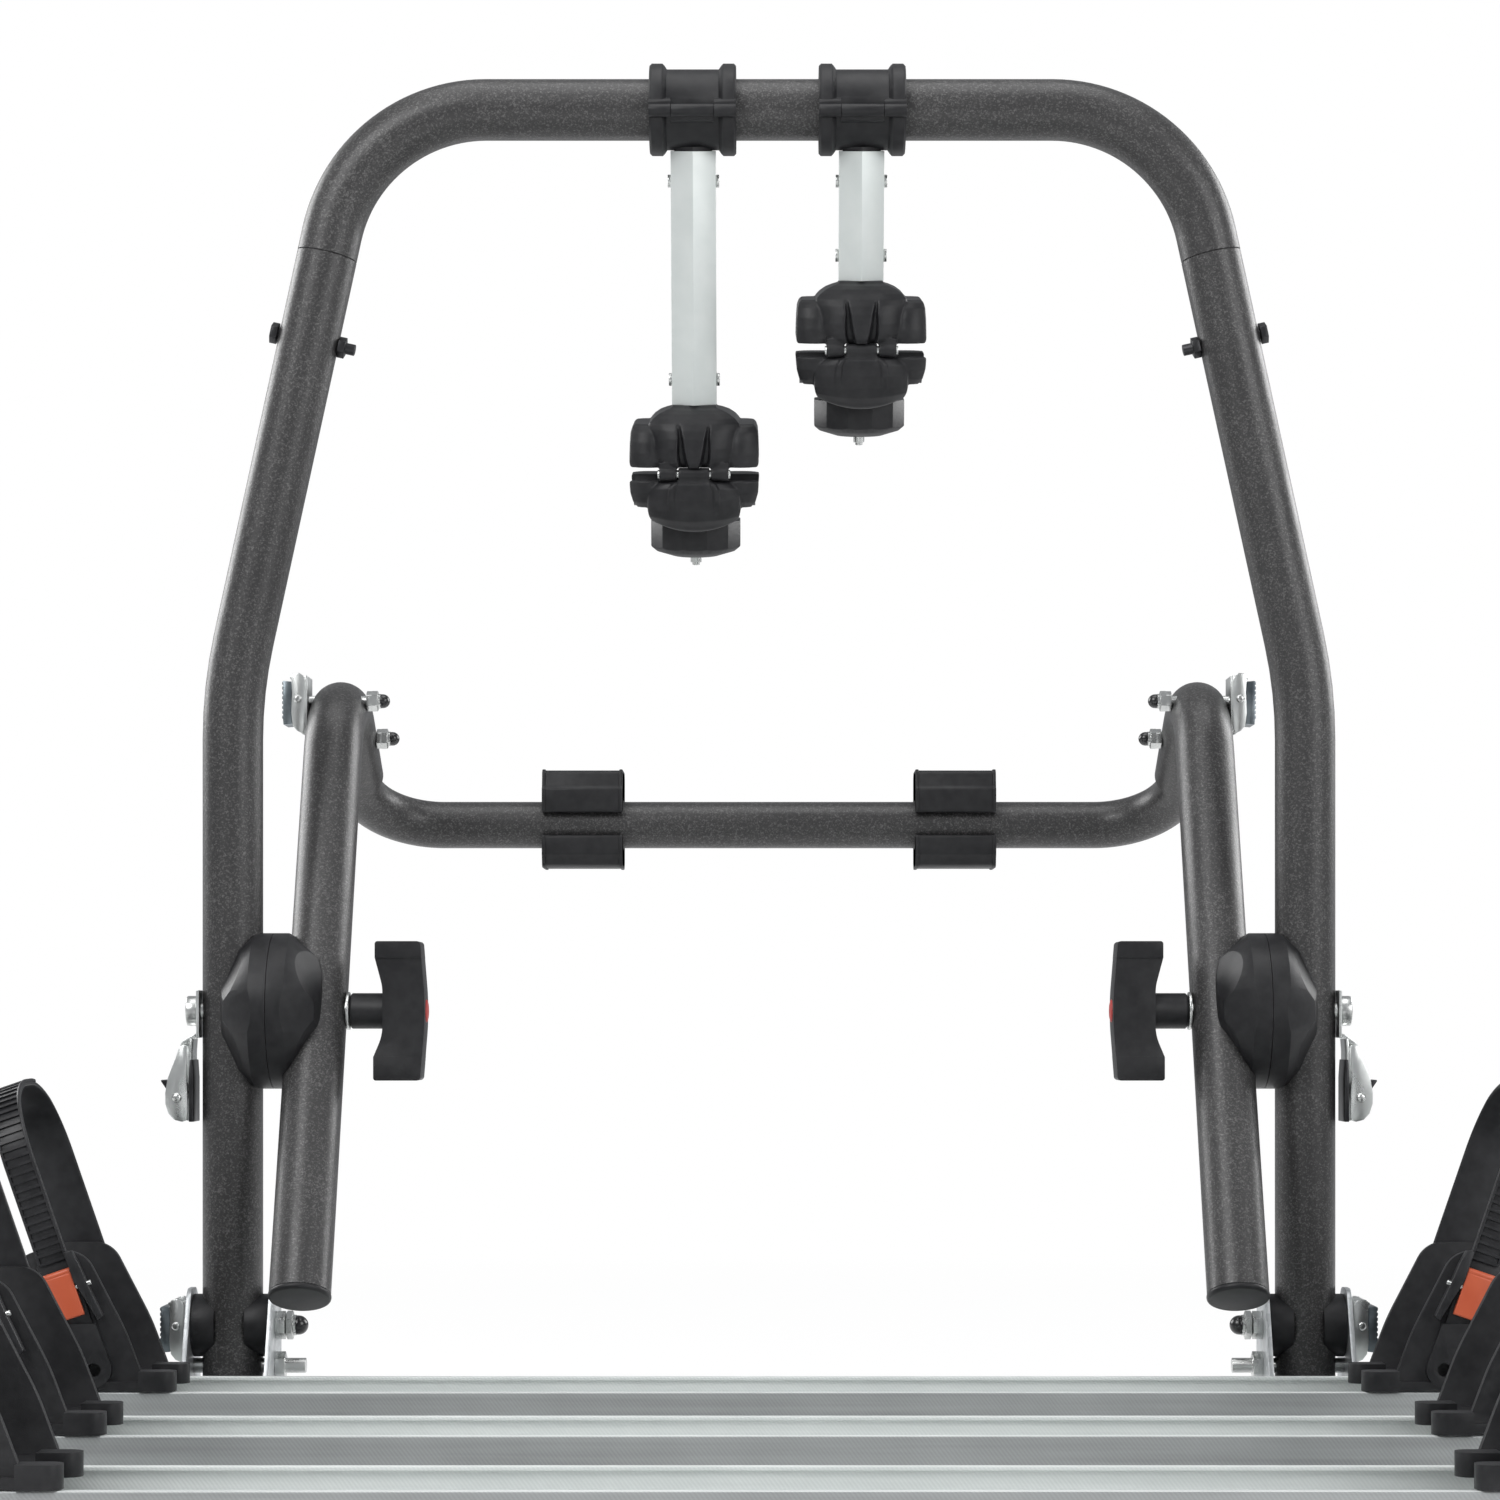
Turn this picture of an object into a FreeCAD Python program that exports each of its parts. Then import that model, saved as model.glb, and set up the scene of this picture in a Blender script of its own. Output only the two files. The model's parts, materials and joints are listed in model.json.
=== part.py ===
import FreeCAD, Part
import math
import os
import Sketcher

from FreeCAD import Placement, Rotation, Vector

# Upright bike carrier for a car's rear door, standing on its wheel platform.
# Millimetres. X to the right, Y towards the car, Z up, the floor at Z 0.
# The hoop of bent tube stands in one plane; the car-side frame tilts on it.

SIZES = {
    # bent tube
    "tube_diameter": 32.0,
    "tube_wall": 2.0,
    "bar_diameter": 27.6,
    "slip_gap": 0.1,
    # hoop
    "top_height": 738.0,
    "top_corner": 218.7,
    "top_bend": 84.0,
    "leg_offset": 285.9,
    "knee_height": 429.0,
    "knee_bend": 250.0,
    "seam_height": 660.0,
    "spigot_length": 70.0,
    "hoop_bolt_height": 615.0,
    "joint_height": 257.5,
    "hinge_height": 90.0,
    "stop_drop": 21.5,
    "leg_tail": 33.0,
    # tilting joint
    "joint_width": 53.8,
    "joint_radius": 41.5,
    "joint_rim": 9.5,
    "joint_shoulder": 30.0,
    "joint_hub": 12.0,
    "joint_bolt": 10.0,
    "joint_gap": 0.3,
    # car-side frame
    "arm_offset": 241.0,
    "arm_lean": 26.8,
    "arm_foot": 163.5,
    "arm_reach": 211.4,
    "arm_bend": 50.0,
    "arm_sleeve": 105.8,
    "bar_drop": 29.0,
    "bar_reach": 159.0,
    "bar_bend": 48.0,
    "bar_insert": 48.0,
    "sleeve_bolt_back": 40.0,
    "top_bolt_drop": 15.5,
    "cap_thick": 3.0,
    "cap_plug": 14.0,
    "pad_offset": 110.5,
    "pad_width": 47.6,
    "pad_rise": 32.5,
    "pad_fall": 26.0,
    "pad_back": 22.0,
    "pad_front": 19.0,
    "pad_mouth": 13.0,
    # tee knob
    "knob_stem": 19.0,
    "knob_stem_length": 14.0,
    "handle_length": 74.0,
    "handle_depth": 24.0,
    "handle_thick": 27.0,
    "handle_tip": 9.0,
    "washer_thick": 1.6,
    # folded beams
    "sheet_thick": 2.5,
    "bush_wall": 4.6,
    "bush_diameter": 33.4,
    "bush_wrap": 8.0,
    "beam_height": 38.0,
    "beam_front_margin": 50.0,
    "beam_back": 22.0,
    "ear_radius": 20.0,
    # rails
    "rail_length": 1200.0,
    "rail_width": 88.0,
    "rail_depth": 29.0,
    "rail_wall": 2.0,
    "rail_lip": 5.0,
    "rail_setback": 88.0,
    "rail_pitch": 198.0,
    # wheel cradles
    "cradle_offset": 357.0,
    "front_cradle_shift": 18.0,
    "cradle_length": 94.0,
    "cradle_height": 70.0,
    "cradle_floor": 5.0,
    "fin_thick": 4.5,
    "fin_inset": 3.0,
    "lug_radius": 7.0,
    "strap_lean": 19.0,
    "strap_width": 22.0,
    "strap_thick": 2.4,
    "strap_height": 160.0,
    "strap_arch": 38.0,
    "tooth_pitch": 4.5,
    "tooth_rise": 1.3,
    "link_width": 21.0,
    "link_thick": 5.0,
    "link_top": 34.0,
    "lever_length": 25.0,
    "lever_thick": 3.5,
    # bike arms
    "long_arm_offset": -40.5,
    "long_arm_length": 155.0,
    "short_arm_offset": 49.5,
    "short_arm_length": 89.0,
    "arm_tilt": 14.0,
    "hex_width": 24.0,
    "hex_wall": 1.8,
    "clamp_width": 46.0,
    "clamp_flange": 24.0,
    "clamp_barrel": 21.0,
    "clamp_flange_width": 8.0,
    "clamp_split": 0.6,
    "hex_plug": 30.0,
    "jaw_width": 70.0,
    "jaw_collar": 24.6,
    "jaw_hinge_drop": 36.0,
    "jaw_hinge_front": 24.0,
    "jaw_bolt_back": 24.0,
    "jaw_back": 36.0,
    "grip_radius": 17.5,
    "grip_back": -2.0,
    "jaw_slot": 7.0,
    "jaw_depth": 28.5,
    "jaw_pin": 5.0,
    "jaw_bolt": 6.0,
    "screw_knob_diameter": 51.0,
    "screw_knob_height": 20.0,
    "screw_knob_gap": 0.5,
    # hardware
    "hoop_bolt": 6.0,
    "hinge_bolt": 8.0,
    "rail_bolt": 6.0,
    "rivet": 4.0,
    "fit_gap": 0.05,
    "seat_gap": 0.3,
    # strap buckles
    "buckle_width": 24.0,
    "buckle_height": 43.0,
    "buckle_depth": 12.5,
    "buckle_sheet": 1.6,
    "cam_width": 26.0,
    "cam_rise": 16.0,
    "cam_fall": 18.0,
    "cam_depth": 9.5,
    "cam_reach": 14.5,
    "cam_lever": 24.5,
}


class Size:
    """A length or angle that knows its number and the sheet formula behind it."""

    def __init__(self, value, text=None):
        self.value = float(value)
        self.text = text if text is not None else repr(float(value))

    def __add__(self, other):
        other = as_size(other)
        return Size(self.value + other.value, f"({self.text} + {other.text})")

    def __sub__(self, other):
        other = as_size(other)
        return Size(self.value - other.value, f"({self.text} - {other.text})")

    def __mul__(self, other):
        other = as_size(other)
        return Size(self.value * other.value, f"({self.text} * {other.text})")

    def __truediv__(self, other):
        other = as_size(other)
        return Size(self.value / other.value, f"({self.text} / {other.text})")

    def __radd__(self, other):
        return as_size(other) + self

    def __rsub__(self, other):
        return as_size(other) - self

    def __rmul__(self, other):
        return as_size(other) * self

    def __neg__(self):
        return Size(-self.value, f"(0 - {self.text})")


def as_size(value):
    return value if isinstance(value, Size) else Size(value)


def sine(angle):
    return Size(math.sin(math.radians(angle.value)), f"sin({angle.text})")


def cosine(angle):
    return Size(math.cos(math.radians(angle.value)), f"cos({angle.text})")


def tangent(angle):
    return Size(math.tan(math.radians(angle.value)), f"tan({angle.text})")


class Sheet:
    """The driving dimensions, each a cell with an alias and a Size of that name."""

    def __init__(self, document, sizes):
        self.cells = document.addObject("Spreadsheet::Sheet", "Sizes")
        for row, (name, value) in enumerate(sizes.items(), start=1):
            self.cells.set(f"A{row}", name)
            self.cells.set(f"B{row}", str(value))
            self.cells.setAlias(f"B{row}", name)
            setattr(self, name, Size(value, f"Sizes.{name}"))


document = FreeCAD.newDocument("bike_rack")
d = Sheet(document, SIZES)
document.recompute()

SIDES = {"left": -1, "right": 1}
TUBE_RADIUS = d.tube_diameter / 2
BORE_RADIUS = TUBE_RADIUS - d.tube_wall
BAR_RADIUS = d.bar_diameter / 2
BEAM_HALF = TUBE_RADIUS + d.bush_wall
LIP_HEIGHT = d.beam_height + d.rail_depth
JAW_TOP = d.jaw_hinge_drop

# Where the car-side frame's bent tube turns back, and the crossbar's height.
ARM_CORNER_Y = sine(d.arm_lean) * d.arm_reach
ARM_CORNER_Z = d.joint_height + cosine(d.arm_lean) * d.arm_reach
BAR_Y = ARM_CORNER_Y + cosine(d.bar_drop) * d.bar_reach
BAR_Z = ARM_CORNER_Z - sine(d.bar_drop) * d.bar_reach

# The whole rack is set so that the middle of its footprint is at Y 0.
FRONT_REACH = d.rail_setback + 2 * d.rail_pitch + d.beam_front_margin
BACK_REACH = BAR_Y + d.pad_back
MIDDLE = (BACK_REACH - FRONT_REACH) / 2

finished = {}


def bind(feature, **sizes):
    """Set properties and tie each to its formula; a double underscore is a dot."""
    for name, size in sizes.items():
        size = as_size(size)
        if "__" not in name:
            setattr(feature, name, size.value)
        feature.setExpression(name.replace("__", "."), size.text)


def place(feature, x=0, y=0, z=0, axis=None, angle=None):
    """Seat a finished piece in the rack's own frame, turned about an axis."""
    turn = Rotation(axis, angle.value) if axis is not None else Rotation()
    y_size = as_size(y) - MIDDLE
    base = Vector(as_size(x).value, y_size.value, as_size(z).value)
    feature.Placement = Placement(base, turn)
    bind(feature, Placement__Base__x=x, Placement__Base__y=y_size, Placement__Base__z=z)
    if axis is not None:
        bind(feature, Placement__Rotation__Angle=angle)


def keep(feature, name):
    feature.Label = name
    finished[name] = feature
    return feature


def new_body(name):
    return document.addObject("PartDesign::Body", name + "_body")


PLANES = {"X": ("YZ_Plane", 1), "Y": ("XZ_Plane", -1), "Z": ("XY_Plane", 1)}


def new_sketch(body, name, axis, station=0):
    """A sketch square to an axis, at a station along it."""
    role, sense = PLANES[axis]
    sketch = body.newObject("Sketcher::SketchObject", name)
    plane = [item for item in body.Origin.OriginFeatures if item.Role == role][0]
    sketch.AttachmentSupport = [(plane, "")]
    sketch.MapMode = "FlatFace"
    offset = sense * as_size(station)
    sketch.AttachmentOffset = Placement(Vector(0, 0, offset.value), Rotation())
    sketch.setExpression("AttachmentOffset.Base.z", offset.text)
    return sketch


def tie(sketch, constraint, size):
    """Add one dimension to a sketch, bound to the sheet."""
    index = sketch.addConstraint(constraint)
    if "Sizes" in as_size(size).text:
        sketch.setExpression(f"Constraints[{index}]", size.text)


def corner_arc(before, at, after, radius):
    """The tangent arc at a corner: its ends, its curve, and whether it runs backwards."""
    back = (before - at).normalize()
    ahead = (after - at).normalize()
    turn = math.pi - back.getAngle(ahead)
    start = at + back * (radius * math.tan(turn / 2))
    end = at + ahead * (radius * math.tan(turn / 2))
    centre = at + (back + ahead).normalize() * (radius / math.cos(turn / 2))
    angle_start = math.atan2(start.y - centre.y, start.x - centre.x)
    angle_end = math.atan2(end.y - centre.y, end.x - centre.x)
    backwards = (angle_end - angle_start) % (2 * math.pi) > math.pi
    first, last = (angle_end, angle_start) if backwards else (angle_start, angle_end)
    if last < first:
        last += 2 * math.pi
    circle = Part.Circle(centre, Vector(0, 0, 1), radius)
    return start, end, Part.ArcOfCircle(circle, first, last), backwards


def draw(sketch, corners, closed=True):
    """Draw straight runs through corners (x, y[, radius]), fully dimensioned."""
    count = len(corners)
    points = [Vector(as_size(c[0]).value, as_size(c[1]).value, 0) for c in corners]
    starts = list(points)
    ends = list(points)
    arcs = {}
    for index, corner in enumerate(corners):
        if len(corner) == 3:
            after = points[(index + 1) % count]
            radius = as_size(corner[2]).value
            arcs[index] = corner_arc(points[index - 1], points[index], after, radius)
            ends[index], starts[index] = arcs[index][0], arcs[index][1]
    lines = {}
    arc_ids = {}
    for index in range(count):
        if index in arcs:
            arc_ids[index] = sketch.addGeometry(arcs[index][2], False)
        if closed or index < count - 1:
            run = Part.LineSegment(starts[index], ends[(index + 1) % count])
            lines[index] = sketch.addGeometry(run, False)
    for index, corner in enumerate(corners):
        mark = sketch.addGeometry(Part.Point(points[index]), True)
        x_size, y_size = as_size(corner[0]), as_size(corner[1])
        make = Sketcher.Constraint
        tie(sketch, make("DistanceX", -1, 1, mark, 1, x_size.value), x_size)
        tie(sketch, make("DistanceY", -1, 1, mark, 1, y_size.value), y_size)
        before = lines.get((index - 1) % count) if closed or index > 0 else None
        after = lines.get(index)
        if index not in arcs:
            if before is not None:
                sketch.addConstraint(make("Coincident", before, 2, mark, 1))
            if after is not None:
                sketch.addConstraint(make("Coincident", after, 1, mark, 1))
            continue
        near, far = (2, 1) if arcs[index][3] else (1, 2)
        arc = arc_ids[index]
        sketch.addConstraint(make("PointOnObject", mark, 1, before))
        sketch.addConstraint(make("PointOnObject", mark, 1, after))
        sketch.addConstraint(make("Tangent", before, 2, arc, near))
        sketch.addConstraint(make("Tangent", arc, far, after, 1))
        radius = as_size(corner[2])
        tie(sketch, make("Radius", arc, radius.value), radius)
    return sketch


def draw_circle(sketch, x, y, radius):
    x, y, radius = as_size(x), as_size(y), as_size(radius)
    centre = Vector(x.value, y.value, 0)
    circle = sketch.addGeometry(Part.Circle(centre, Vector(0, 0, 1), radius.value), False)
    make = Sketcher.Constraint
    tie(sketch, make("DistanceX", -1, 1, circle, 3, x.value), x)
    tie(sketch, make("DistanceY", -1, 1, circle, 3, y.value), y)
    tie(sketch, make("Radius", circle, radius.value), radius)
    return sketch


def draw_loops(sketch, loops):
    """Draw closed loops: a list of corners, or a (x, y, radius) circle."""
    for loop in loops:
        if isinstance(loop, tuple):
            draw_circle(sketch, *loop)
        else:
            draw(sketch, loop)
    return sketch


def slab(body, name, axis, station, thickness, *loops, cut=False):
    """A plate square to an axis, half its thickness each side of a station."""
    sketch = draw_loops(new_sketch(body, name + "_outline", axis, station), loops)
    kind = "PartDesign::Pocket" if cut else "PartDesign::Pad"
    feature = body.newObject(kind, name)
    feature.Profile = sketch
    feature.SideType = "Symmetric"
    bind(feature, Length=thickness)
    return feature


def trim(body, name, axis, thickness, outline, margin=60):
    """Cut away everything outside a silhouette seen along an axis."""
    xs = [as_size(corner[0]).value for corner in outline]
    ys = [as_size(corner[1]).value for corner in outline]
    low_x, high_x = min(xs) - margin, max(xs) + margin
    low_y, high_y = min(ys) - margin, max(ys) + margin
    frame = [(low_x, low_y), (high_x, low_y), (high_x, high_y), (low_x, high_y)]
    return slab(body, name, axis, 0, thickness, frame, outline, cut=True)


def turned(body, name, axis, corners, cut=False):
    """A shape turned about the body's own X, Y or Z axis; corners are (along, radius)."""
    planes = {"X": ("Y", "H_Axis", False), "Y": ("Z", "V_Axis", True), "Z": ("Y", "V_Axis", True)}
    plane, line, swap = planes[axis]
    profile = [((c[1], c[0]) + tuple(c[2:])) if swap else c for c in corners]
    sketch = draw(new_sketch(body, name + "_profile", plane), profile)
    kind = "PartDesign::Groove" if cut else "PartDesign::Revolution"
    feature = body.newObject(kind, name)
    feature.Profile = sketch
    feature.ReferenceAxis = (sketch, [line])
    feature.Angle = 360
    return feature


def bent_run(body, name, axis, path, radius, cut=False, station=0):
    """A round run along straight stretches and tangent bends, added or bored."""
    spine = draw(new_sketch(body, name + "_path", axis, station), path, closed=False)
    document.recompute()
    section = body.newObject("Sketcher::SketchObject", name + "_section")
    section.AttachmentSupport = [(spine, "Edge1")]
    section.MapMode = "NormalToEdge"
    section.MapPathParameter = 0
    draw_circle(section, 0, 0, radius)
    kind = "PartDesign::SubtractivePipe" if cut else "PartDesign::AdditivePipe"
    feature = body.newObject(kind, name)
    feature.Profile = section
    edges = [f"Edge{number + 1}" for number in range(len(spine.Shape.Edges))]
    feature.Spine = (spine, edges)
    return feature


def primitive(kind, name, **sizes):
    feature = document.addObject("Part::" + kind, name)
    bind(feature, **sizes)
    return feature


def rod(name, radius, length, start=0):
    """A cylinder along local Z from a start height."""
    feature = primitive("Cylinder", name, Radius=radius, Height=length)
    bind(feature, Placement__Base__z=start)
    return feature


def hexagon(name, across_flats, length, start=0):
    """A six-sided prism along local Z from a start height."""
    corner_radius = as_size(across_flats) / math.sqrt(3)
    feature = primitive("Prism", name, Circumradius=corner_radius, Height=length)
    feature.Polygon = 6
    bind(feature, Placement__Base__z=start)
    return feature


def fuse(name, pieces):
    feature = document.addObject("Part::MultiFuse", name)
    feature.Shapes = pieces
    return feature


def cut_from(name, base, tools):
    feature = document.addObject("Part::Cut", name)
    feature.Base = base
    feature.Tool = tools[0] if len(tools) == 1 else fuse(name + "_tools", tools)
    return feature


def group(name, pieces):
    feature = document.addObject("Part::Compound", name + "_group")
    feature.Links = pieces
    return keep(feature, name)


def bolt(name, diameter, grip, cap=False):
    """A hexagon bolt along local Z: head below 0, nut above the grip length."""
    radius = as_size(diameter) / 2
    flats = as_size(diameter) * 1.65
    head_height = as_size(diameter) * 0.65
    bare = as_size(diameter) * 1.5
    pieces = [
        rod(name + "_shank", radius, as_size(grip) + bare, 0),
        hexagon(name + "_head", flats, head_height, -head_height),
        hexagon(name + "_nut", flats, head_height, grip),
    ]
    if cap:
        dome = primitive("Cone", name + "_cap", Radius1=radius * 1.25, Radius2=radius * 0.6, Height=radius)
        bind(dome, Placement__Base__z=as_size(grip) + bare)
        pieces.append(rod(name + "_cap_skirt", radius * 1.25, radius * 1.2, as_size(grip) + bare - radius * 1.2))
        pieces.append(dome)
    return fuse(name, pieces)


def slant_x(height):
    """Offset from the middle of the slanted part of the hoop at a height."""
    slope = (d.leg_offset - d.top_corner) / (d.top_height - d.knee_height)
    return d.leg_offset - (height - d.knee_height) * slope


def across_slant(side, height, reach):
    """The two ends of a line square to the slanted tube, each a reach from its centre."""
    run = d.leg_offset - d.top_corner
    rise = d.top_height - d.knee_height
    out = reach * (1 - run * run / (rise * rise) / 2)
    down = reach * (run / rise)
    centre = slant_x(height)
    return [(side * (centre + out), height + down), (side * (centre - out), height - down)]


def make_upper_hoop():
    """The top bar with its two bends and the spigots that slide into the legs."""
    body = new_body("upper_hoop")
    seam = (slant_x(d.seam_height), d.seam_height)
    foot_height = d.seam_height - d.spigot_length
    foot = (slant_x(foot_height), foot_height)
    over = [(-d.top_corner, d.top_height, d.top_bend), (d.top_corner, d.top_height, d.top_bend)]
    bent_run(body, "hoop_tube", "Y", [(-seam[0], seam[1])] + over + [seam], TUBE_RADIUS)
    spigot_radius = BORE_RADIUS - d.slip_gap
    for word, side in SIDES.items():
        start_height = d.seam_height + TUBE_RADIUS
        start = (side * slant_x(start_height), start_height)
        end = (side * foot[0], foot[1])
        bent_run(body, "spigot_" + word, "Y", [start, end], spigot_radius)
    whole = [(-foot[0], foot[1])] + over + [foot]
    bent_run(body, "hoop_bore", "Y", whole, spigot_radius - d.tube_wall, cut=True)
    for word, side in SIDES.items():
        line = across_slant(side, d.hoop_bolt_height, d.tube_diameter)
        bent_run(body, "bolt_way_" + word, "Y", line, d.hoop_bolt / 2 + d.fit_gap, cut=True)
    place(body)
    return keep(body, "upper_hoop")


def make_leg(word, side):
    """One leg: a slanted upper end, a knee and a straight lower end with its holes."""
    body = new_body(word + "_leg")
    path = [
        (side * slant_x(d.seam_height), d.seam_height),
        (side * d.leg_offset, d.knee_height, d.knee_bend),
        (side * d.leg_offset, d.hinge_height - d.leg_tail),
    ]
    bent_run(body, "leg_tube", "Y", path, TUBE_RADIUS)
    bent_run(body, "leg_bore", "Y", path, BORE_RADIUS, cut=True)
    line = across_slant(side, d.hoop_bolt_height, d.tube_diameter)
    bent_run(body, "hoop_bolt_way", "Y", line, d.hoop_bolt / 2 + d.fit_gap, cut=True)
    joint_hole = (0, d.joint_height, d.joint_bolt / 2 + d.fit_gap)
    hinge_hole = (0, d.hinge_height, d.hinge_bolt / 2 + d.fit_gap)
    through = d.tube_diameter * 1.5
    slab(body, "bolt_ways", "X", side * d.leg_offset, through, joint_hole, hinge_hole, cut=True)
    # The stop bolt lies in a notch that is open to the front of the tube.
    notch_half = d.hinge_bolt / 2 + d.seat_gap
    notch = d.hinge_height - d.stop_drop
    front = -d.tube_diameter
    slot = [
        (front, notch - notch_half * 2),
        (notch_half, notch - notch_half * 2),
        (notch_half, notch + notch_half + 1.2),
        (front, notch + notch_half + 1.2),
    ]
    slab(body, "stop_notch", "X", side * d.leg_offset, through, slot, cut=True)
    place(body)
    return keep(body, word + "_leg")


def make_hoop_bolts():
    """The two bolts that hold the upper hoop in the legs."""
    bolts = []
    slope = math.degrees(math.atan((SIZES["leg_offset"] - SIZES["top_corner"])
                                   / (SIZES["top_height"] - SIZES["knee_height"])))
    for word, side in SIDES.items():
        item = bolt(f"hoop_bolt_{word}", d.hoop_bolt, d.tube_diameter + 0.8)
        start = across_slant(side, d.hoop_bolt_height, TUBE_RADIUS + 0.6)[0]
        place(item, start[0], 0, start[1], Vector(0, 1, 0), Size(-side * (90 + slope)))
        bolts.append(item)
    return group("hoop_bolts", bolts)


def make_joint_half(name, side, inner):
    """One half of a tilting joint, hollowed to hug its tube.

    The outer half hugs the leg and the inner half hugs the car-side arm.
    """
    sense = -side if inner else side
    body = new_body(name)
    half = d.joint_width / 2
    profile = [
        (d.joint_gap / 2, 0),
        (d.joint_gap / 2, d.joint_radius),
        (d.joint_rim, d.joint_radius),
        (half - 3.6, d.joint_shoulder),
        (half - 0.6, d.joint_shoulder * 0.66),
        (half, d.joint_hub),
        (half, 0),
    ]
    turned(body, "drum", "X", [(sense * c[0],) + c[1:] for c in profile])
    channel = TUBE_RADIUS + d.slip_gap
    middle = (d.leg_offset + d.arm_offset) / 2
    tube_at = (d.arm_offset if inner else d.leg_offset) - middle
    reach = d.joint_radius * 1.5
    if inner:
        lean_y = sine(d.arm_lean) * reach
        lean_z = cosine(d.arm_lean) * reach
        line = [(-lean_y, -lean_z), (lean_y, lean_z)]
    else:
        line = [(0, -reach), (0, reach)]
    bent_run(body, "tube_channel", "X", line, channel, cut=True, station=side * tube_at)
    bore = (0, 0, d.joint_bolt / 2 + d.fit_gap)
    slab(body, "bolt_way", "X", sense * half / 2, half * 3, bore, cut=True)
    place(body, side * middle, 0, d.joint_height)
    return keep(body, name)


def make_joint_bolts():
    """The two long bolts through leg, joint and arm, which the tee knobs screw onto."""
    bolts = []
    for word, side in SIDES.items():
        start = d.leg_offset + TUBE_RADIUS + d.buckle_sheet + d.seat_gap * 2
        finish = d.arm_offset - TUBE_RADIUS - d.knob_stem_length - 6
        radius = d.joint_bolt / 2
        head = d.joint_bolt * 0.6
        pieces = [
            rod(f"joint_shank_{word}", radius, start - finish, 0),
            rod(f"joint_head_{word}", d.joint_bolt * 0.8, head, -head),
        ]
        item = fuse(f"joint_bolt_{word}", pieces)
        place(item, side * start, 0, d.joint_height, Vector(0, 1, 0), Size(-side * 90))
        bolts.append(item)
    return group("joint_bolts", bolts)


def make_hinge_bushes():
    """Four moulded saddles that hug the legs between the ears of the beams."""
    bushes = []
    radius = d.bush_diameter / 2
    outer = BEAM_HALF - d.seat_gap
    for word, side in SIDES.items():
        for where, sense in (("outer", 1), ("inner", -1)):
            name = f"bush_{word}_{where}"
            blank = rod(name + "_blank", radius, outer - d.bush_wrap, d.bush_wrap)
            tube = primitive("Cylinder", name + "_tube", Radius=TUBE_RADIUS + d.slip_gap, Height=80)
            tube.Placement = Placement(Vector(0, -40, 0), Rotation(Vector(1, 0, 0), -90))
            hole = rod(name + "_hole", d.hinge_bolt / 2 + d.fit_gap, d.tube_diameter * 2, 0)
            bush = cut_from(name, blank, [tube, hole])
            x = side * d.leg_offset
            place(bush, x, 0, d.hinge_height, Vector(0, 1, 0), Size(side * sense * 90))
            turn = Rotation(Vector(0, 1, 0), side * sense * 90) * Rotation(Vector(0, 0, 1), 90)
            bush.setExpression("Placement.Rotation.Angle", None)
            bush.Placement = Placement(bush.Placement.Base, turn)
            bushes.append(bush)
    return group("hinge_bushes", bushes)


def arm_point(reach, drop=0):
    """A point on the lower straight of the car-side arm, by its distance from the joint."""
    y = sine(d.arm_lean) * reach + cosine(d.arm_lean) * drop
    z = cosine(d.arm_lean) * reach - sine(d.arm_lean) * drop
    return (y, d.joint_height + z)


def sleeve_point(reach):
    """A point on the arm's upper straight, by its distance from the bend's corner."""
    y = ARM_CORNER_Y + cosine(d.bar_drop) * reach
    z = ARM_CORNER_Z - sine(d.bar_drop) * reach
    return (y, z)


def top_bolt_point():
    """The bolt near the crown of the arm's bend, on the line that halves the bend."""
    half = (Size(90) + d.bar_drop - d.arm_lean) / 2
    heading = d.bar_drop + half
    y = ARM_CORNER_Y + cosine(heading) * d.top_bolt_drop * 0.9
    z = ARM_CORNER_Z - sine(heading) * d.top_bolt_drop
    return (y, z)


def make_arm(word, side):
    """A car-side arm: a leaning straight, a bend over the top and a sleeve for the bar."""
    body = new_body("arm_" + word)
    path = [arm_point(-d.arm_foot), (ARM_CORNER_Y, ARM_CORNER_Z, d.arm_bend), sleeve_point(d.arm_sleeve)]
    station = side * d.arm_offset
    bent_run(body, "arm_tube", "X", path, TUBE_RADIUS, station=station)
    bent_run(body, "arm_bore", "X", path, BORE_RADIUS, cut=True, station=station)
    hole = d.hoop_bolt / 2 + d.fit_gap
    joint_hole = (0, d.joint_height, d.joint_bolt / 2 + d.fit_gap)
    sleeve = sleeve_point(d.arm_sleeve - d.sleeve_bolt_back)
    top = top_bolt_point()
    ways = (joint_hole, (sleeve[0], sleeve[1], hole), (top[0], top[1], hole))
    slab(body, "bolt_ways", "X", station, d.tube_diameter * 1.5, *ways, cut=True)
    place(body)
    return keep(body, "arm_" + word)


def make_crossbar():
    """The bar that joins the arms and carries the pads against the tailgate."""
    body = new_body("crossbar")
    start = d.arm_sleeve - d.bar_insert
    path = [
        (-d.arm_offset, start),
        (-d.arm_offset, d.bar_reach, d.bar_bend),
        (d.arm_offset, d.bar_reach, d.bar_bend),
        (d.arm_offset, start),
    ]
    bent_run(body, "bar_tube", "Z", path, BAR_RADIUS)
    bent_run(body, "bar_bore", "Z", path, BAR_RADIUS - d.tube_wall, cut=True)
    hole = (d.arm_sleeve - d.sleeve_bolt_back, 0, d.hoop_bolt / 2 + d.fit_gap)
    slab(body, "bolt_ways", "X", 0, d.arm_offset * 3, hole, cut=True)
    place(body, 0, ARM_CORNER_Y, ARM_CORNER_Z, Vector(1, 0, 0), -d.bar_drop)
    return keep(body, "crossbar")


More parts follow.
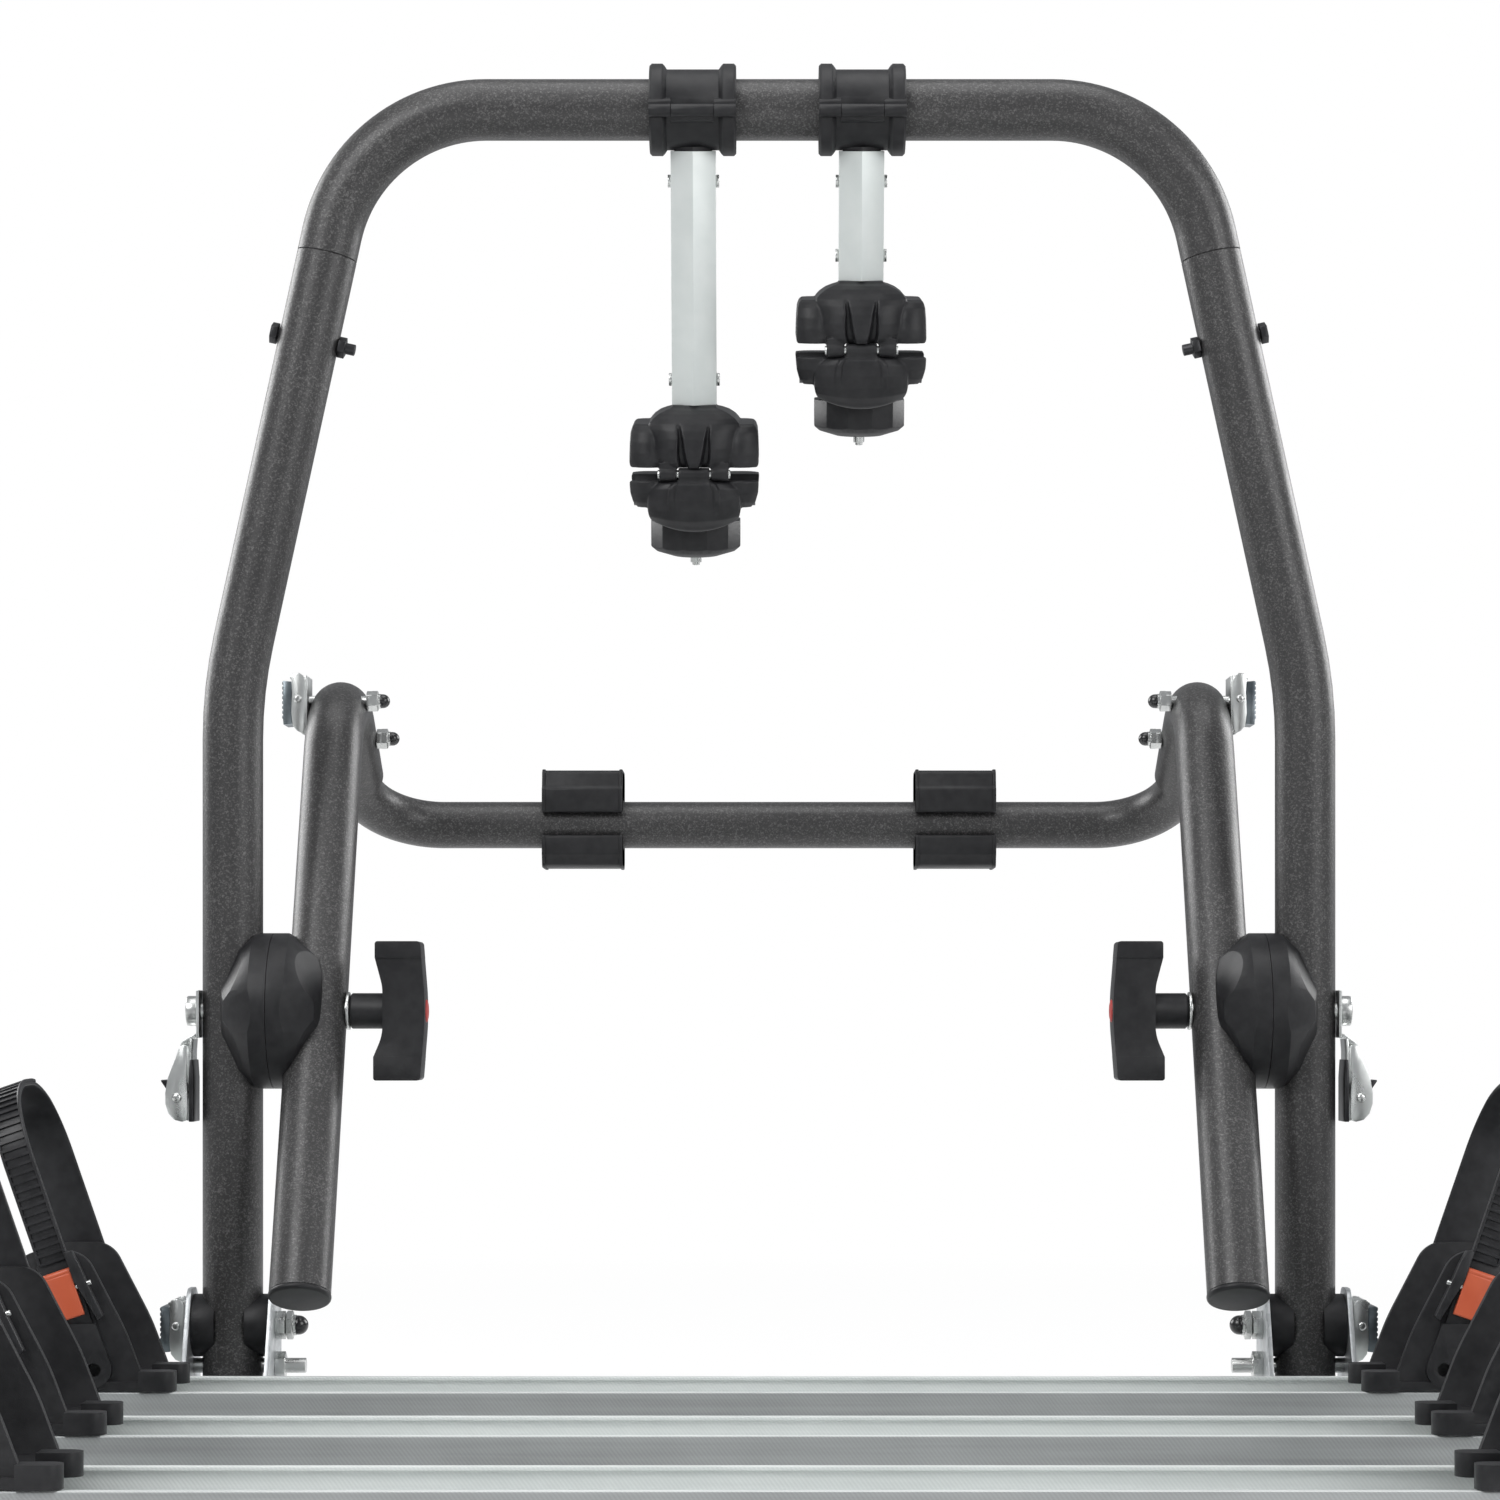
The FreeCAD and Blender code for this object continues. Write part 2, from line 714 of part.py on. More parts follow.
def make_tailgate_pads():
    """Two moulded pads that snap round the crossbar, open to the front."""
    bodies = []
    mouth = d.pad_mouth / 2
    for word, side in SIDES.items():
        body = new_body("pad_" + word)
        outline = [
            (-d.pad_front, d.pad_rise, 3),
            (d.pad_back, d.pad_rise, 6),
            (d.pad_back, -d.pad_fall, 6),
            (-d.pad_front + 3, -d.pad_fall, 3),
            (-d.pad_front + 3, -mouth - 3, 1),
            (-BAR_RADIUS / 2, -mouth - 3),
            (-BAR_RADIUS / 2, mouth - 2),
            (-d.pad_front, mouth - 2, 1),
        ]
        slab(body, "block", "X", 0, d.pad_width, outline)
        bore = (0, 0, BAR_RADIUS + d.slip_gap)
        slab(body, "bar_way", "X", 0, d.pad_width * 1.2, bore, cut=True)
        place(body, side * d.pad_offset, BAR_Y, BAR_Z)
        bodies.append(body)
    return group("tailgate_pads", bodies)


def make_arm_end_caps():
    """Moulded plugs in the lower ends of the car-side arms."""
    bodies = []
    foot = arm_point(-d.arm_foot)
    for word, side in SIDES.items():
        rim = TUBE_RADIUS + d.slip_gap * 3
        body = new_body("cap_" + word)
        profile = [
            (-d.cap_thick, 0),
            (-d.cap_thick, rim - 1),
            (1 - d.cap_thick, rim),
            (0, rim),
            (0, BORE_RADIUS - d.slip_gap),
            (d.cap_plug, BORE_RADIUS - d.slip_gap),
            (d.cap_plug, 0),
        ]
        turned(body, "plug", "Z", profile)
        place(body, side * d.arm_offset, foot[0], foot[1], Vector(1, 0, 0), -d.arm_lean)
        bodies.append(body)
    return group("arm_end_caps", bodies)


def make_arm_bolts():
    """Bolts through the arms: one holds the crossbar, one the upper strap buckle."""
    bolts = []
    sleeve = sleeve_point(d.arm_sleeve - d.sleeve_bolt_back)
    top = top_bolt_point()
    for word, side in SIDES.items():
        for name, point, packing in (("bar", sleeve, Size(0)), ("buckle", top, d.buckle_sheet)):
            item = bolt(f"{name}_bolt_{word}", d.hoop_bolt, d.tube_diameter + packing, cap=True)
            x = side * (d.arm_offset + TUBE_RADIUS + packing)
            place(item, x, point[0], point[1], Vector(0, 1, 0), Size(-side * 90))
            bolts.append(item)
        bolts.append(make_knob_washer(word, side))
    return group("arm_bolts", bolts)


def make_knob_washer(word, side):
    """The washer between a tee knob and its car-side arm."""
    disc = rod(f"washer_disc_{word}", d.knob_stem / 2 + 0.6, d.washer_thick, 0)
    clear = d.joint_bolt / 2 + d.fit_gap
    hole = rod(f"washer_hole_{word}", clear, d.washer_thick * 3, -d.washer_thick)
    washer = cut_from(f"washer_{word}", disc, [hole])
    x = side * (d.arm_offset - TUBE_RADIUS)
    place(washer, x, 0, d.joint_height, Vector(0, 1, 0), Size(-side * 90))
    return washer


def buckle_parts(name, eye, body_drop, offset):
    """A pressed strap buckle hung from a bolt: eye plate, channel and cam lever.

    Local X is away from the tube, local Z up, and the bolt's axis is at the origin.
    """
    body = new_body(name)
    half = d.buckle_width / 2
    top = -as_size(body_drop)
    bottom = top - d.buckle_height
    plate_top = as_size(eye)
    offset = as_size(offset)
    back = [
        (0, plate_top, 0.5),
        (d.buckle_sheet, plate_top, 0.5),
        (d.buckle_sheet, top + 3, 1.5),
        (offset + d.buckle_sheet, top - 4, 1.5),
        (offset + d.buckle_sheet, bottom),
        (offset, bottom),
        (offset, top - 5, 1.5),
        (0, top + 2, 1.5),
    ]
    return body, back, half, top, bottom, offset


def make_buckle(name, side, eye, body_drop, offset, hole_radius):
    """One strap buckle as a single pressed and riveted piece."""
    body, back, half, top, bottom, offset = buckle_parts(name, eye, body_drop, offset)
    slab(body, "back_plate", "Y", 0, d.buckle_width, [(side * c[0],) + tuple(c[1:]) for c in back])
    cheek = [
        (side * offset, top - 6),
        (side * (offset + d.buckle_depth * 0.55), top - 6, 2),
        (side * (offset + d.buckle_depth), top - d.buckle_height * 0.45, 6),
        (side * (offset + d.buckle_depth), top - d.buckle_height * 0.72, 4),
        (side * (offset + d.buckle_depth * 0.5), bottom, 3),
        (side * offset, bottom),
    ]
    for word, sense in (("front", -1), ("back", 1)):
        station = sense * (half - d.buckle_sheet / 2)
        slab(body, "cheek_" + word, "Y", station, d.buckle_sheet, cheek)
    pin = (side * (offset + d.buckle_depth * 0.6), top - d.buckle_height * 0.62, d.buckle_depth * 0.2)
    slab(body, "cam_rivet", "Y", 0, d.buckle_width + 2.4, pin)
    lever = [
        (side * (offset + d.buckle_depth * 0.4), top - d.buckle_height * 0.8, 1),
        (side * (offset + d.buckle_depth * 0.9), top - d.buckle_height * 0.74, 2),
        (side * (offset + d.buckle_depth * 1.02), top - d.buckle_height * 0.56, 2),
        (side * (offset + d.buckle_depth * 1.32), top - d.buckle_height * 0.42, 0.8),
        (side * (offset + d.buckle_depth * 1.22), top - d.buckle_height * 0.37, 0.8),
        (side * (offset + d.buckle_depth * 0.8), top - d.buckle_height * 0.5, 3),
    ]
    slab(body, "cam_lever", "Y", 0, d.buckle_width - 2 * d.buckle_sheet - 1, lever)
    slab(body, "eye_hole", "X", 0, 30, (0, 0, hole_radius), cut=True)
    return body


def make_side_buckle(word, side):
    """The strap buckle that hangs on the joint bolt outside the leg."""
    hole = d.joint_bolt / 2 + d.fit_gap
    body = make_buckle(f"side_buckle_{word}", side, 11, 18, 4.5, hole)
    x = side * (d.leg_offset + TUBE_RADIUS + d.seat_gap)
    place(body, x, 0, d.joint_height)
    return keep(body, f"side_buckle_{word}")


def make_bolted_buckle(name, side, hole_radius):
    """A strap buckle bolted flat through its base, its thumb lever outermost."""
    body = new_body(name)
    rise, fall, deep = d.cam_rise, d.cam_fall, d.cam_depth
    sheet = d.buckle_sheet
    base = [
        (0, rise),
        (side * sheet, rise),
        (side * sheet, -fall + 3, 2),
        (side * (deep - 3), -fall, 2),
        (side * (deep - 3), -fall - sheet),
        (side * 1, -fall - sheet, 3),
        (0, -fall + 3),
    ]
    slab(body, "base", "Y", 0, d.cam_width, base)
    cheek = [
        (0, rise),
        (side * (deep * 0.45), rise + 3.5, 2),
        (side * (deep * 0.85), rise + 2, 2.5),
        (side * deep, rise * 0.3, 6),
        (side * deep, -fall * 0.55, 5),
        (side * (deep * 0.6), -fall, 2),
        (0, -fall + 3),
    ]
    for word, sense in (("front", -1), ("back", 1)):
        station = sense * (d.cam_width - sheet) / 2
        slab(body, "cheek_" + word, "Y", station, sheet, cheek)
    pin = (side * (deep * 0.62), rise - 2.5, deep * 0.2)
    slab(body, "cam_rivet", "Y", 0, d.cam_width + 2.4, pin)
    half = d.cam_lever / 2
    lever = [
        (side * (deep * 0.5), rise - 0.5, 0.8),
        (side * (d.cam_reach - 3), half, 0.8),
        (side * (d.cam_reach - 3.4), -half, 0.8),
        (side * d.cam_reach, -half, 0.8),
        (side * d.cam_reach, half, 1.2),
        (side * (deep * 0.8), rise + 2.5, 1.2),
    ]
    slab(body, "cam_lever", "Y", 0, d.cam_width - 2 * sheet - 1, lever)
    slab(body, "bolt_hole", "X", 0, sheet * 3, (0, 0, hole_radius), cut=True)
    return body


def make_fixed_buckles(name, x, y, z, bolt_size):
    """A pair of strap buckles held tight under bolt heads."""
    bodies = []
    for word, side in SIDES.items():
        hole = as_size(bolt_size) / 2 + d.fit_gap
        body = make_bolted_buckle(f"{name}_{word}", side, hole)
        place(body, side * as_size(x), y, z)
        bodies.append(body)
    return group(name, bodies)


def make_tee_knob(word, side):
    """The clamping knob: a crescent handle on a round stem, threaded on the joint bolt."""
    body = new_body("tee_knob_" + word)
    stem = d.knob_stem / 2
    half = d.handle_length / 2
    reach = d.knob_stem_length + d.handle_thick
    hollow = d.knob_stem_length + 4
    tip = d.handle_tip

    def inboard(x):
        return -side * as_size(x)

    shaft = [
        (inboard(0), 0),
        (inboard(0), stem - 1.2),
        (inboard(1.2), stem),
        (inboard(hollow + 3), stem),
        (inboard(hollow + 3), 0),
    ]
    turned(body, "stem", "X", shaft)
    handle = [
        (inboard(d.knob_stem_length), half, 1.5),
        (inboard(reach - 3), half, 2),
        (inboard(reach), 0, 180),
        (inboard(reach - 3), -half, 2),
        (inboard(d.knob_stem_length - 0.8), -half, 1.5),
        (inboard(d.knob_stem_length - 0.8), -half + tip * 1.4, 2),
        (inboard(hollow), -half * 0.35, 25),
        (inboard(hollow), half * 0.35, 25),
        (inboard(d.knob_stem_length), half - tip, 2),
    ]
    slab(body, "handle", "Y", 0, d.handle_depth, handle)
    blind = [
        (inboard(-1), 0),
        (inboard(-1), d.joint_bolt / 2 + d.fit_gap),
        (inboard(hollow + 6), d.joint_bolt / 2 + d.fit_gap),
        (inboard(hollow + 6), 0),
    ]
    turned(body, "bolt_socket", "X", blind, cut=True)
    place(body, side * (d.arm_offset - TUBE_RADIUS - d.washer_thick - d.seat_gap), 0, d.joint_height)
    return keep(body, "tee_knob_" + word)


def make_beam(word, side):
    """A folded beam under the rails, its two sides raised into ears for the hinge."""
    body = new_body("beam_" + word)
    front = -(d.rail_setback + 2 * d.rail_pitch + d.beam_front_margin)
    ear_top = d.hinge_height + d.ear_radius
    outline = [
        (front, 0, 4),
        (d.beam_back, 0, 6),
        (d.beam_back, d.hinge_height + 8, 10),
        (8, ear_top, 10),
        (-10, ear_top, 10),
        (-d.rail_setback + d.rail_width / 2 + 2, d.beam_height + 8, 4),
        (-d.rail_setback + d.rail_width / 2 + 2, d.beam_height, 1),
        (front, d.beam_height),
    ]
    width = 2 * (BEAM_HALF + d.sheet_thick)
    slab(body, "sheet", "X", 0, width, outline)
    inside = 2 * BEAM_HALF
    web_end = -d.rail_setback + d.rail_width / 2 - 2
    hollow = [
        (front - 10, -10),
        (web_end, -10),
        (web_end, d.beam_height - d.sheet_thick),
        (front - 10, d.beam_height - d.sheet_thick),
    ]
    slab(body, "under_web", "X", 0, inside, hollow, cut=True)
    gap = [
        (web_end - 1, -10),
        (d.beam_back + 20, -10),
        (d.beam_back + 20, ear_top + 20),
        (web_end - 1, ear_top + 20),
    ]
    slab(body, "between_ears", "X", 0, inside, gap, cut=True)
    hole = d.hinge_bolt / 2 + d.fit_gap
    stop = d.hinge_height - d.stop_drop
    slab(body, "bolt_ways", "X", 0, width * 2, (0, d.hinge_height, hole), (0, stop, hole), cut=True)
    ways = [(0, y, d.rail_bolt / 2 + d.fit_gap) for y in rail_bolt_places()]
    slab(body, "rail_bolt_ways", "Z", d.beam_height, 20, *ways, cut=True)
    place(body, side * d.leg_offset)
    return keep(body, "beam_" + word)


def rail_centres():
    return {name: -(d.rail_setback + step * d.rail_pitch)
            for step, name in enumerate(("back", "middle", "front"))}


def rail_bolt_places():
    spread = d.rail_width / 4
    return [y + sense * spread for y in rail_centres().values() for sense in (-1, 1)]


def make_rail(name, y):
    """An extruded channel that the wheels stand in, with folded-in lips."""
    body = new_body("rail_" + name)
    half = d.rail_width / 2
    wall = d.rail_wall
    depth = d.rail_depth
    lip = d.rail_lip
    section = [
        (-half, 0, 3),
        (half, 0, 3),
        (half, depth, 1),
        (half - lip, depth, 0.6),
        (half - lip, depth - wall, 0.6),
        (half - wall, depth - wall),
        (half - wall, wall, 2),
        (-half + wall, wall, 2),
        (-half + wall, depth - wall),
        (-half + lip, depth - wall, 0.6),
        (-half + lip, depth, 0.6),
        (-half, depth, 1),
    ]
    slab(body, "channel", "X", 0, d.rail_length, section)
    spread = d.rail_width / 4
    hole = d.rail_bolt / 2 + d.fit_gap
    ways = [(side * d.leg_offset, sense * spread, hole) for side in (-1, 1) for sense in (-1, 1)]
    slab(body, "bolt_ways", "Z", 0, depth, *ways, cut=True)
    place(body, 0, y, d.beam_height)
    return keep(body, "rail_" + name)


def make_platform_bolts():
    """Rail bolts, the hinge bolts through the ears and the stop bolts below them."""
    items = []
    for word, side in SIDES.items():
        for number, y in enumerate(rail_bolt_places(), start=1):
            grip = d.rail_wall + d.sheet_thick
            item = bolt(f"rail_bolt_{word}_{number}", d.rail_bolt, grip)
            place(item, side * d.leg_offset, y, d.beam_height + d.rail_wall, Vector(1, 0, 0), Size(180))
            items.append(item)
        ears = 2 * (BEAM_HALF + d.sheet_thick)
        packing = d.buckle_sheet
        x = side * (d.leg_offset + BEAM_HALF + d.sheet_thick + packing)
        hinge = bolt(f"hinge_bolt_{word}", d.hinge_bolt, ears + packing, cap=True)
        place(hinge, x, 0, d.hinge_height, Vector(0, 1, 0), Size(-side * 90))
        reach = ears + d.hinge_bolt * 2
        pieces = [
            rod(f"stop_stud_{word}", d.hinge_bolt / 2, reach, 0),
            hexagon(f"stop_nut_{word}", d.hinge_bolt * 1.65, d.hinge_bolt * 0.65, ears),
        ]
        stop = fuse(f"stop_bolt_{word}", pieces)
        height = d.hinge_height - d.stop_drop
        place(stop, x - side * packing, 0, height, Vector(0, 1, 0), Size(-side * 90))
        items += [hinge, stop]
    return group("platform_bolts", items)


def lean_x(side, distance):
    """How far outboard the leaning strap plane stands at a height."""
    return side * as_size(distance) * tangent(d.strap_lean)


def make_cradle(name, side, x, y):
    """A moulded wheel cradle: floor, two arched fins, lugs and the strap's lower link."""
    body = new_body("cradle_" + name)
    half = d.cradle_length / 2
    fin_y = d.rail_width / 2 - d.fin_inset - d.fin_thick / 2
    floor = [
        (-half, 0),
        (half, 0),
        (half, d.cradle_floor),
        (half * 0.45, d.cradle_floor, 10),
        (0, d.cradle_floor * 0.6, 30),
        (-half * 0.45, d.cradle_floor, 10),
        (-half, d.cradle_floor),
    ]
    slab(body, "floor", "Y", 0, d.rail_width, floor)
    top = d.cradle_height
    fin = [
        (-half, 0),
        (half, 0),
        (half * 0.76, top * 0.43, 120),
        (half * 0.32, top, 15),
        (-half * 0.32, top, 15),
        (-half * 0.76, top * 0.43, 120),
    ]
    for word, sense in (("front", -1), ("back", 1)):
        slab(body, "fin_" + word, "Y", sense * fin_y, d.fin_thick, fin)
    lug = d.lug_radius
    for number, (cx, cy) in enumerate(((-1, -1), (-1, 0.1), (1, -1), (1, 0.1)), start=1):
        outline = [
            (cx * (half - 4), cy * fin_y - lug),
            (cx * (half + 2 * lug), cy * fin_y - lug, lug * 0.9),
            (cx * (half + 2 * lug), cy * fin_y + lug, lug * 0.9),
            (cx * (half - 4), cy * fin_y + lug),
        ]
        slab(body, f"lug_{number}", "Z", d.cradle_floor, d.cradle_floor * 2, outline)
    # A tongue under the floor runs between the rail's lips.
    tongue_half = d.rail_width / 2 - d.rail_lip - d.seat_gap
    tongue = [(-half, -tongue_half), (half, -tongue_half), (half, tongue_half), (-half, tongue_half)]
    slab(body, "tongue", "Z", -2, 4 - d.slip_gap, tongue)
    make_link(body, side, fin_y)
    place(body, side * as_size(x), y, LIP_HEIGHT + d.seat_gap)
    return keep(body, "cradle_" + name)


def strap_plane_x(side, height):
    """Centre of the strap across the rail's length at a height above the lips."""
    return side * (as_size(height) * tangent(d.strap_lean) - STRAP_FOOT)


def make_link(body, side, fin_y):
    """The strap's lower link on the front fin, with its pivot hole and ratchet frame."""
    outer = fin_y + d.fin_thick / 2
    half = d.link_width / 2
    top = d.link_top + d.lever_length
    low = strap_plane_x(side, 0)
    high = strap_plane_x(side, top)
    link = [
        (low - half, 2, 9),
        (low + half, 2, 9),
        (strap_plane_x(side, d.link_top) + half, d.link_top),
        (strap_plane_x(side, d.link_top) - half, d.link_top),
    ]
    station = -(outer + d.link_thick / 2)
    slab(body, "link", "Y", station, d.link_thick, link)
    frame = [
        (strap_plane_x(side, d.link_top - 8) - half, d.link_top - 8),
        (strap_plane_x(side, d.link_top - 8) + half, d.link_top - 8),
        (high + half, top),
        (high - half, top),
    ]
    slab(body, "ratchet_back", "Y", -(outer + 1), 2, frame)
    hole = (low + side * 2, 11, 3.4)
    slab(body, "link_hole", "Y", station, d.link_thick * 1.5, hole, cut=True)


STRAP_FOOT = Size(23)


def make_strap(name, side, x, y):
    """A toothed strap looped over the wheel, rooted behind the back fin."""
    body = new_body("strap_" + name)
    fin_outer = d.rail_width / 2 - d.fin_inset
    back = fin_outer + 2.5
    front = fin_outer + 4.4
    lean = cosine(d.strap_lean)
    height = d.strap_height
    thick = d.strap_thick
    start = (d.link_top + d.lever_length + 6) / lean
    root = Size(14)
    arch = d.strap_arch
    path = [
        (back, root),
        (back, height, arch),
        (-front, height, arch),
        (-front, start),
    ]
    inner = [
        (-front + thick, start),
        (-front + thick, height - thick, arch - thick),
        (back - thick, height - thick, arch - thick),
        (back - thick, root),
    ]
    slab(body, "band", "X", 0, d.strap_width, path + inner)
    step = d.tooth_pitch
    rungs = int((height.value - arch.value - start.value - 4) / step.value)
    half = d.strap_width * 0.4
    pockets = []
    for number in range(rungs):
        low = start + 3 + step * number
        high = low + step * 0.55
        pockets.append([(-half, low), (half, low), (half, high), (-half, high)])
    depth = d.tooth_rise * 2
    slab(body, "ladder", "Y", -front, depth, *pockets, cut=True)
    place_leaning(body, side, x, y)
    return keep(body, "strap_" + name)


def place_leaning(body, side, x, y):
    """Seat a piece drawn in the strap's own leaning frame."""
    foot_x = side * (as_size(x) - STRAP_FOOT)
    place(body, foot_x, y, LIP_HEIGHT + d.seat_gap, Vector(0, 1, 0), side * d.strap_lean)


def make_lever(name, side, x, y):
    """The ratchet's lever, hinged at its top where the strap comes in."""
    body = new_body("ratchet_lever_" + name)
    fin_outer = d.rail_width / 2 - d.fin_inset
    lean = cosine(d.strap_lean)
    top = (d.link_top + d.lever_length + 1) / lean
    bottom = top - d.lever_length
    face = fin_outer + d.link_thick + 2.5
    outline = [
        (-face, bottom, 1),
        (-face + d.lever_thick - 0.5, bottom + 1, 1),
        (-face + d.lever_thick, top - 2, 1),
        (-face + d.lever_thick / 2, top, 1.5),
        (-face, top - 3, 2),
    ]
    slab(body, "plate", "X", 0, d.strap_width - 1.5, outline)
    slab(body, "barrel", "X", 0, d.strap_width - 1.5, (1.8 - face, top - 1.8, Size(1.8)))
    place_leaning(body, side, x, y)
    return keep(body, "ratchet_lever_" + name)


def place_on_arm(feature, x, drop=0, back=0):
    """Seat a piece drawn in a bike arm's frame, leaning with the arm."""
    drop, back = as_size(drop), as_size(back)
    y = sine(d.arm_tilt) * drop + cosine(d.arm_tilt) * back
    z = d.top_height - cosine(d.arm_tilt) * drop + sine(d.arm_tilt) * back
    place(feature, x, y, z, Vector(1, 0, 0), d.arm_tilt)


def clamp_profile():
    """Half section of the spool that grips the top bar."""
    half = d.clamp_width / 2
    flange = half - d.clamp_flange_width
    edge = Size(1.2)
    return [
        (-half, TUBE_RADIUS + d.slip_gap),
        (-half, d.clamp_flange - edge),
        (-half + edge, d.clamp_flange),
        (-flange - edge, d.clamp_flange),
        (-flange, d.clamp_flange - edge),
        (-flange + edge, d.clamp_barrel),
        (flange - edge, d.clamp_barrel),
        (flange, d.clamp_flange - edge),
        (flange + edge, d.clamp_flange),
        (half - edge, d.clamp_flange),
        (half, d.clamp_flange - edge),
        (half, TUBE_RADIUS + d.slip_gap),
    ]


def make_top_clamp(name, x):
    """The two halves that grip the top bar, hinged at the front with three knuckles."""
    knuckle_y = -(d.clamp_flange + 0.6)
    knuckle = Size(3.4)
    room = d.clamp_flange * 2.5
    half_room = room / 2
    third = d.clamp_width / 4
    keepers = {"cap": 1, "seat": -1}
    for part, sense in keepers.items():
        body = new_body(f"{name}_clamp_{part}")
        turned(body, "spool", "X", clamp_profile())
        z_cut = sense * (d.clamp_split / 2)
        other = [
            (-half_room, z_cut),
            (half_room, z_cut),
            (half_room, z_cut - sense * half_room),
            (-half_room, z_cut - sense * half_room),
        ]
        slab(body, "split", "X", 0, d.clamp_width * 1.5, other, cut=True)
        spans = [(0, 2 * third - 0.6)] if part == "seat" else [(-1.5 * third, third), (1.5 * third, third)]
        for number, (centre, width) in enumerate(spans, start=1):
            web = [
                (knuckle_y, z_cut + sense * 0.2),
                (knuckle_y + 8, z_cut + sense * 0.2),
                (knuckle_y + 8, z_cut + sense * 7),
                (knuckle_y, z_cut + sense * 5, 2),
            ]
            slab(body, f"web_{number}", "X", centre, width, web)
            slab(body, f"knuckle_{number}", "X", centre, width, (knuckle_y, Size(0), knuckle))
        bore = (0, 0, TUBE_RADIUS + d.slip_gap)
        slab(body, "bar_way", "X", 0, d.clamp_width * 1.5, bore, cut=True)
        for number, (centre, width) in enumerate([(0, 2 * third), (-1.5 * third - 0.2, third + 0.4),
                                                  (1.5 * third + 0.2, third + 0.4)], start=1):
            own = (number == 1) == (part == "seat")
            if not own:
                clear = (knuckle_y, 0, knuckle + 0.3)
                slab(body, f"knuckle_room_{number}", "X", centre, width, clear, cut=True)
        if part == "seat":
            # The plug that the hexagonal arm slides over.
            plug = d.hex_width / 2 - d.hex_wall - d.slip_gap
            slab_hexagon(body, "plug", plug, -(d.clamp_barrel + d.hex_plug / 2 - 1), d.hex_plug + 2)
            rivet_way(body, d.clamp_flange + d.hex_plug / 2 - 2)
            slab(body, "bar_way_again", "X", 0, d.clamp_width * 1.5, bore, cut=True)
        place_on_arm(body, x)
        keep(body, f"{name}_clamp_{part}")


def hexagon_corners(apothem):
    """Corners of a hexagon with flats facing X, from its half width."""
    apothem = as_size(apothem)
    reach = apothem * (2 / math.sqrt(3))
    return [
        (0, -reach),
        (apothem, -reach / 2),
        (apothem, reach / 2),
        (0, reach),
        (-apothem, reach / 2),
        (-apothem, -reach / 2),
    ]


def slab_hexagon(body, name, apothem, station, thickness, cut=False):
    return slab(body, name, "Z", station, thickness, hexagon_corners(apothem), cut=cut)


def rivet_way(body, drop):
    """A cross hole for a rivet, a distance below the top bar."""
    hole = (0, -as_size(drop), d.rivet / 2 + d.fit_gap)
    slab(body, "rivet_way_" + str(len(body.Group)), "X", 0, d.hex_width * 2, hole, cut=True)


def make_arm_tube(name, x, length):
    """The hexagonal aluminium tube of a bike arm."""
    body = new_body(name + "_arm_tube")
    top = d.clamp_barrel + 0.3
    run = length - top
    slab_hexagon(body, "tube", d.hex_width / 2, -(top + run / 2), run)
    slab_hexagon(body, "bore", d.hex_width / 2 - d.hex_wall, -(top + run / 2), run * 1.2, cut=True)
    rivet_way(body, d.clamp_flange + d.hex_plug / 2 - 2)
    rivet_way(body, length - d.hex_plug / 2 + 2)
    place_on_arm(body, x)
    return keep(body, name + "_arm_tube")


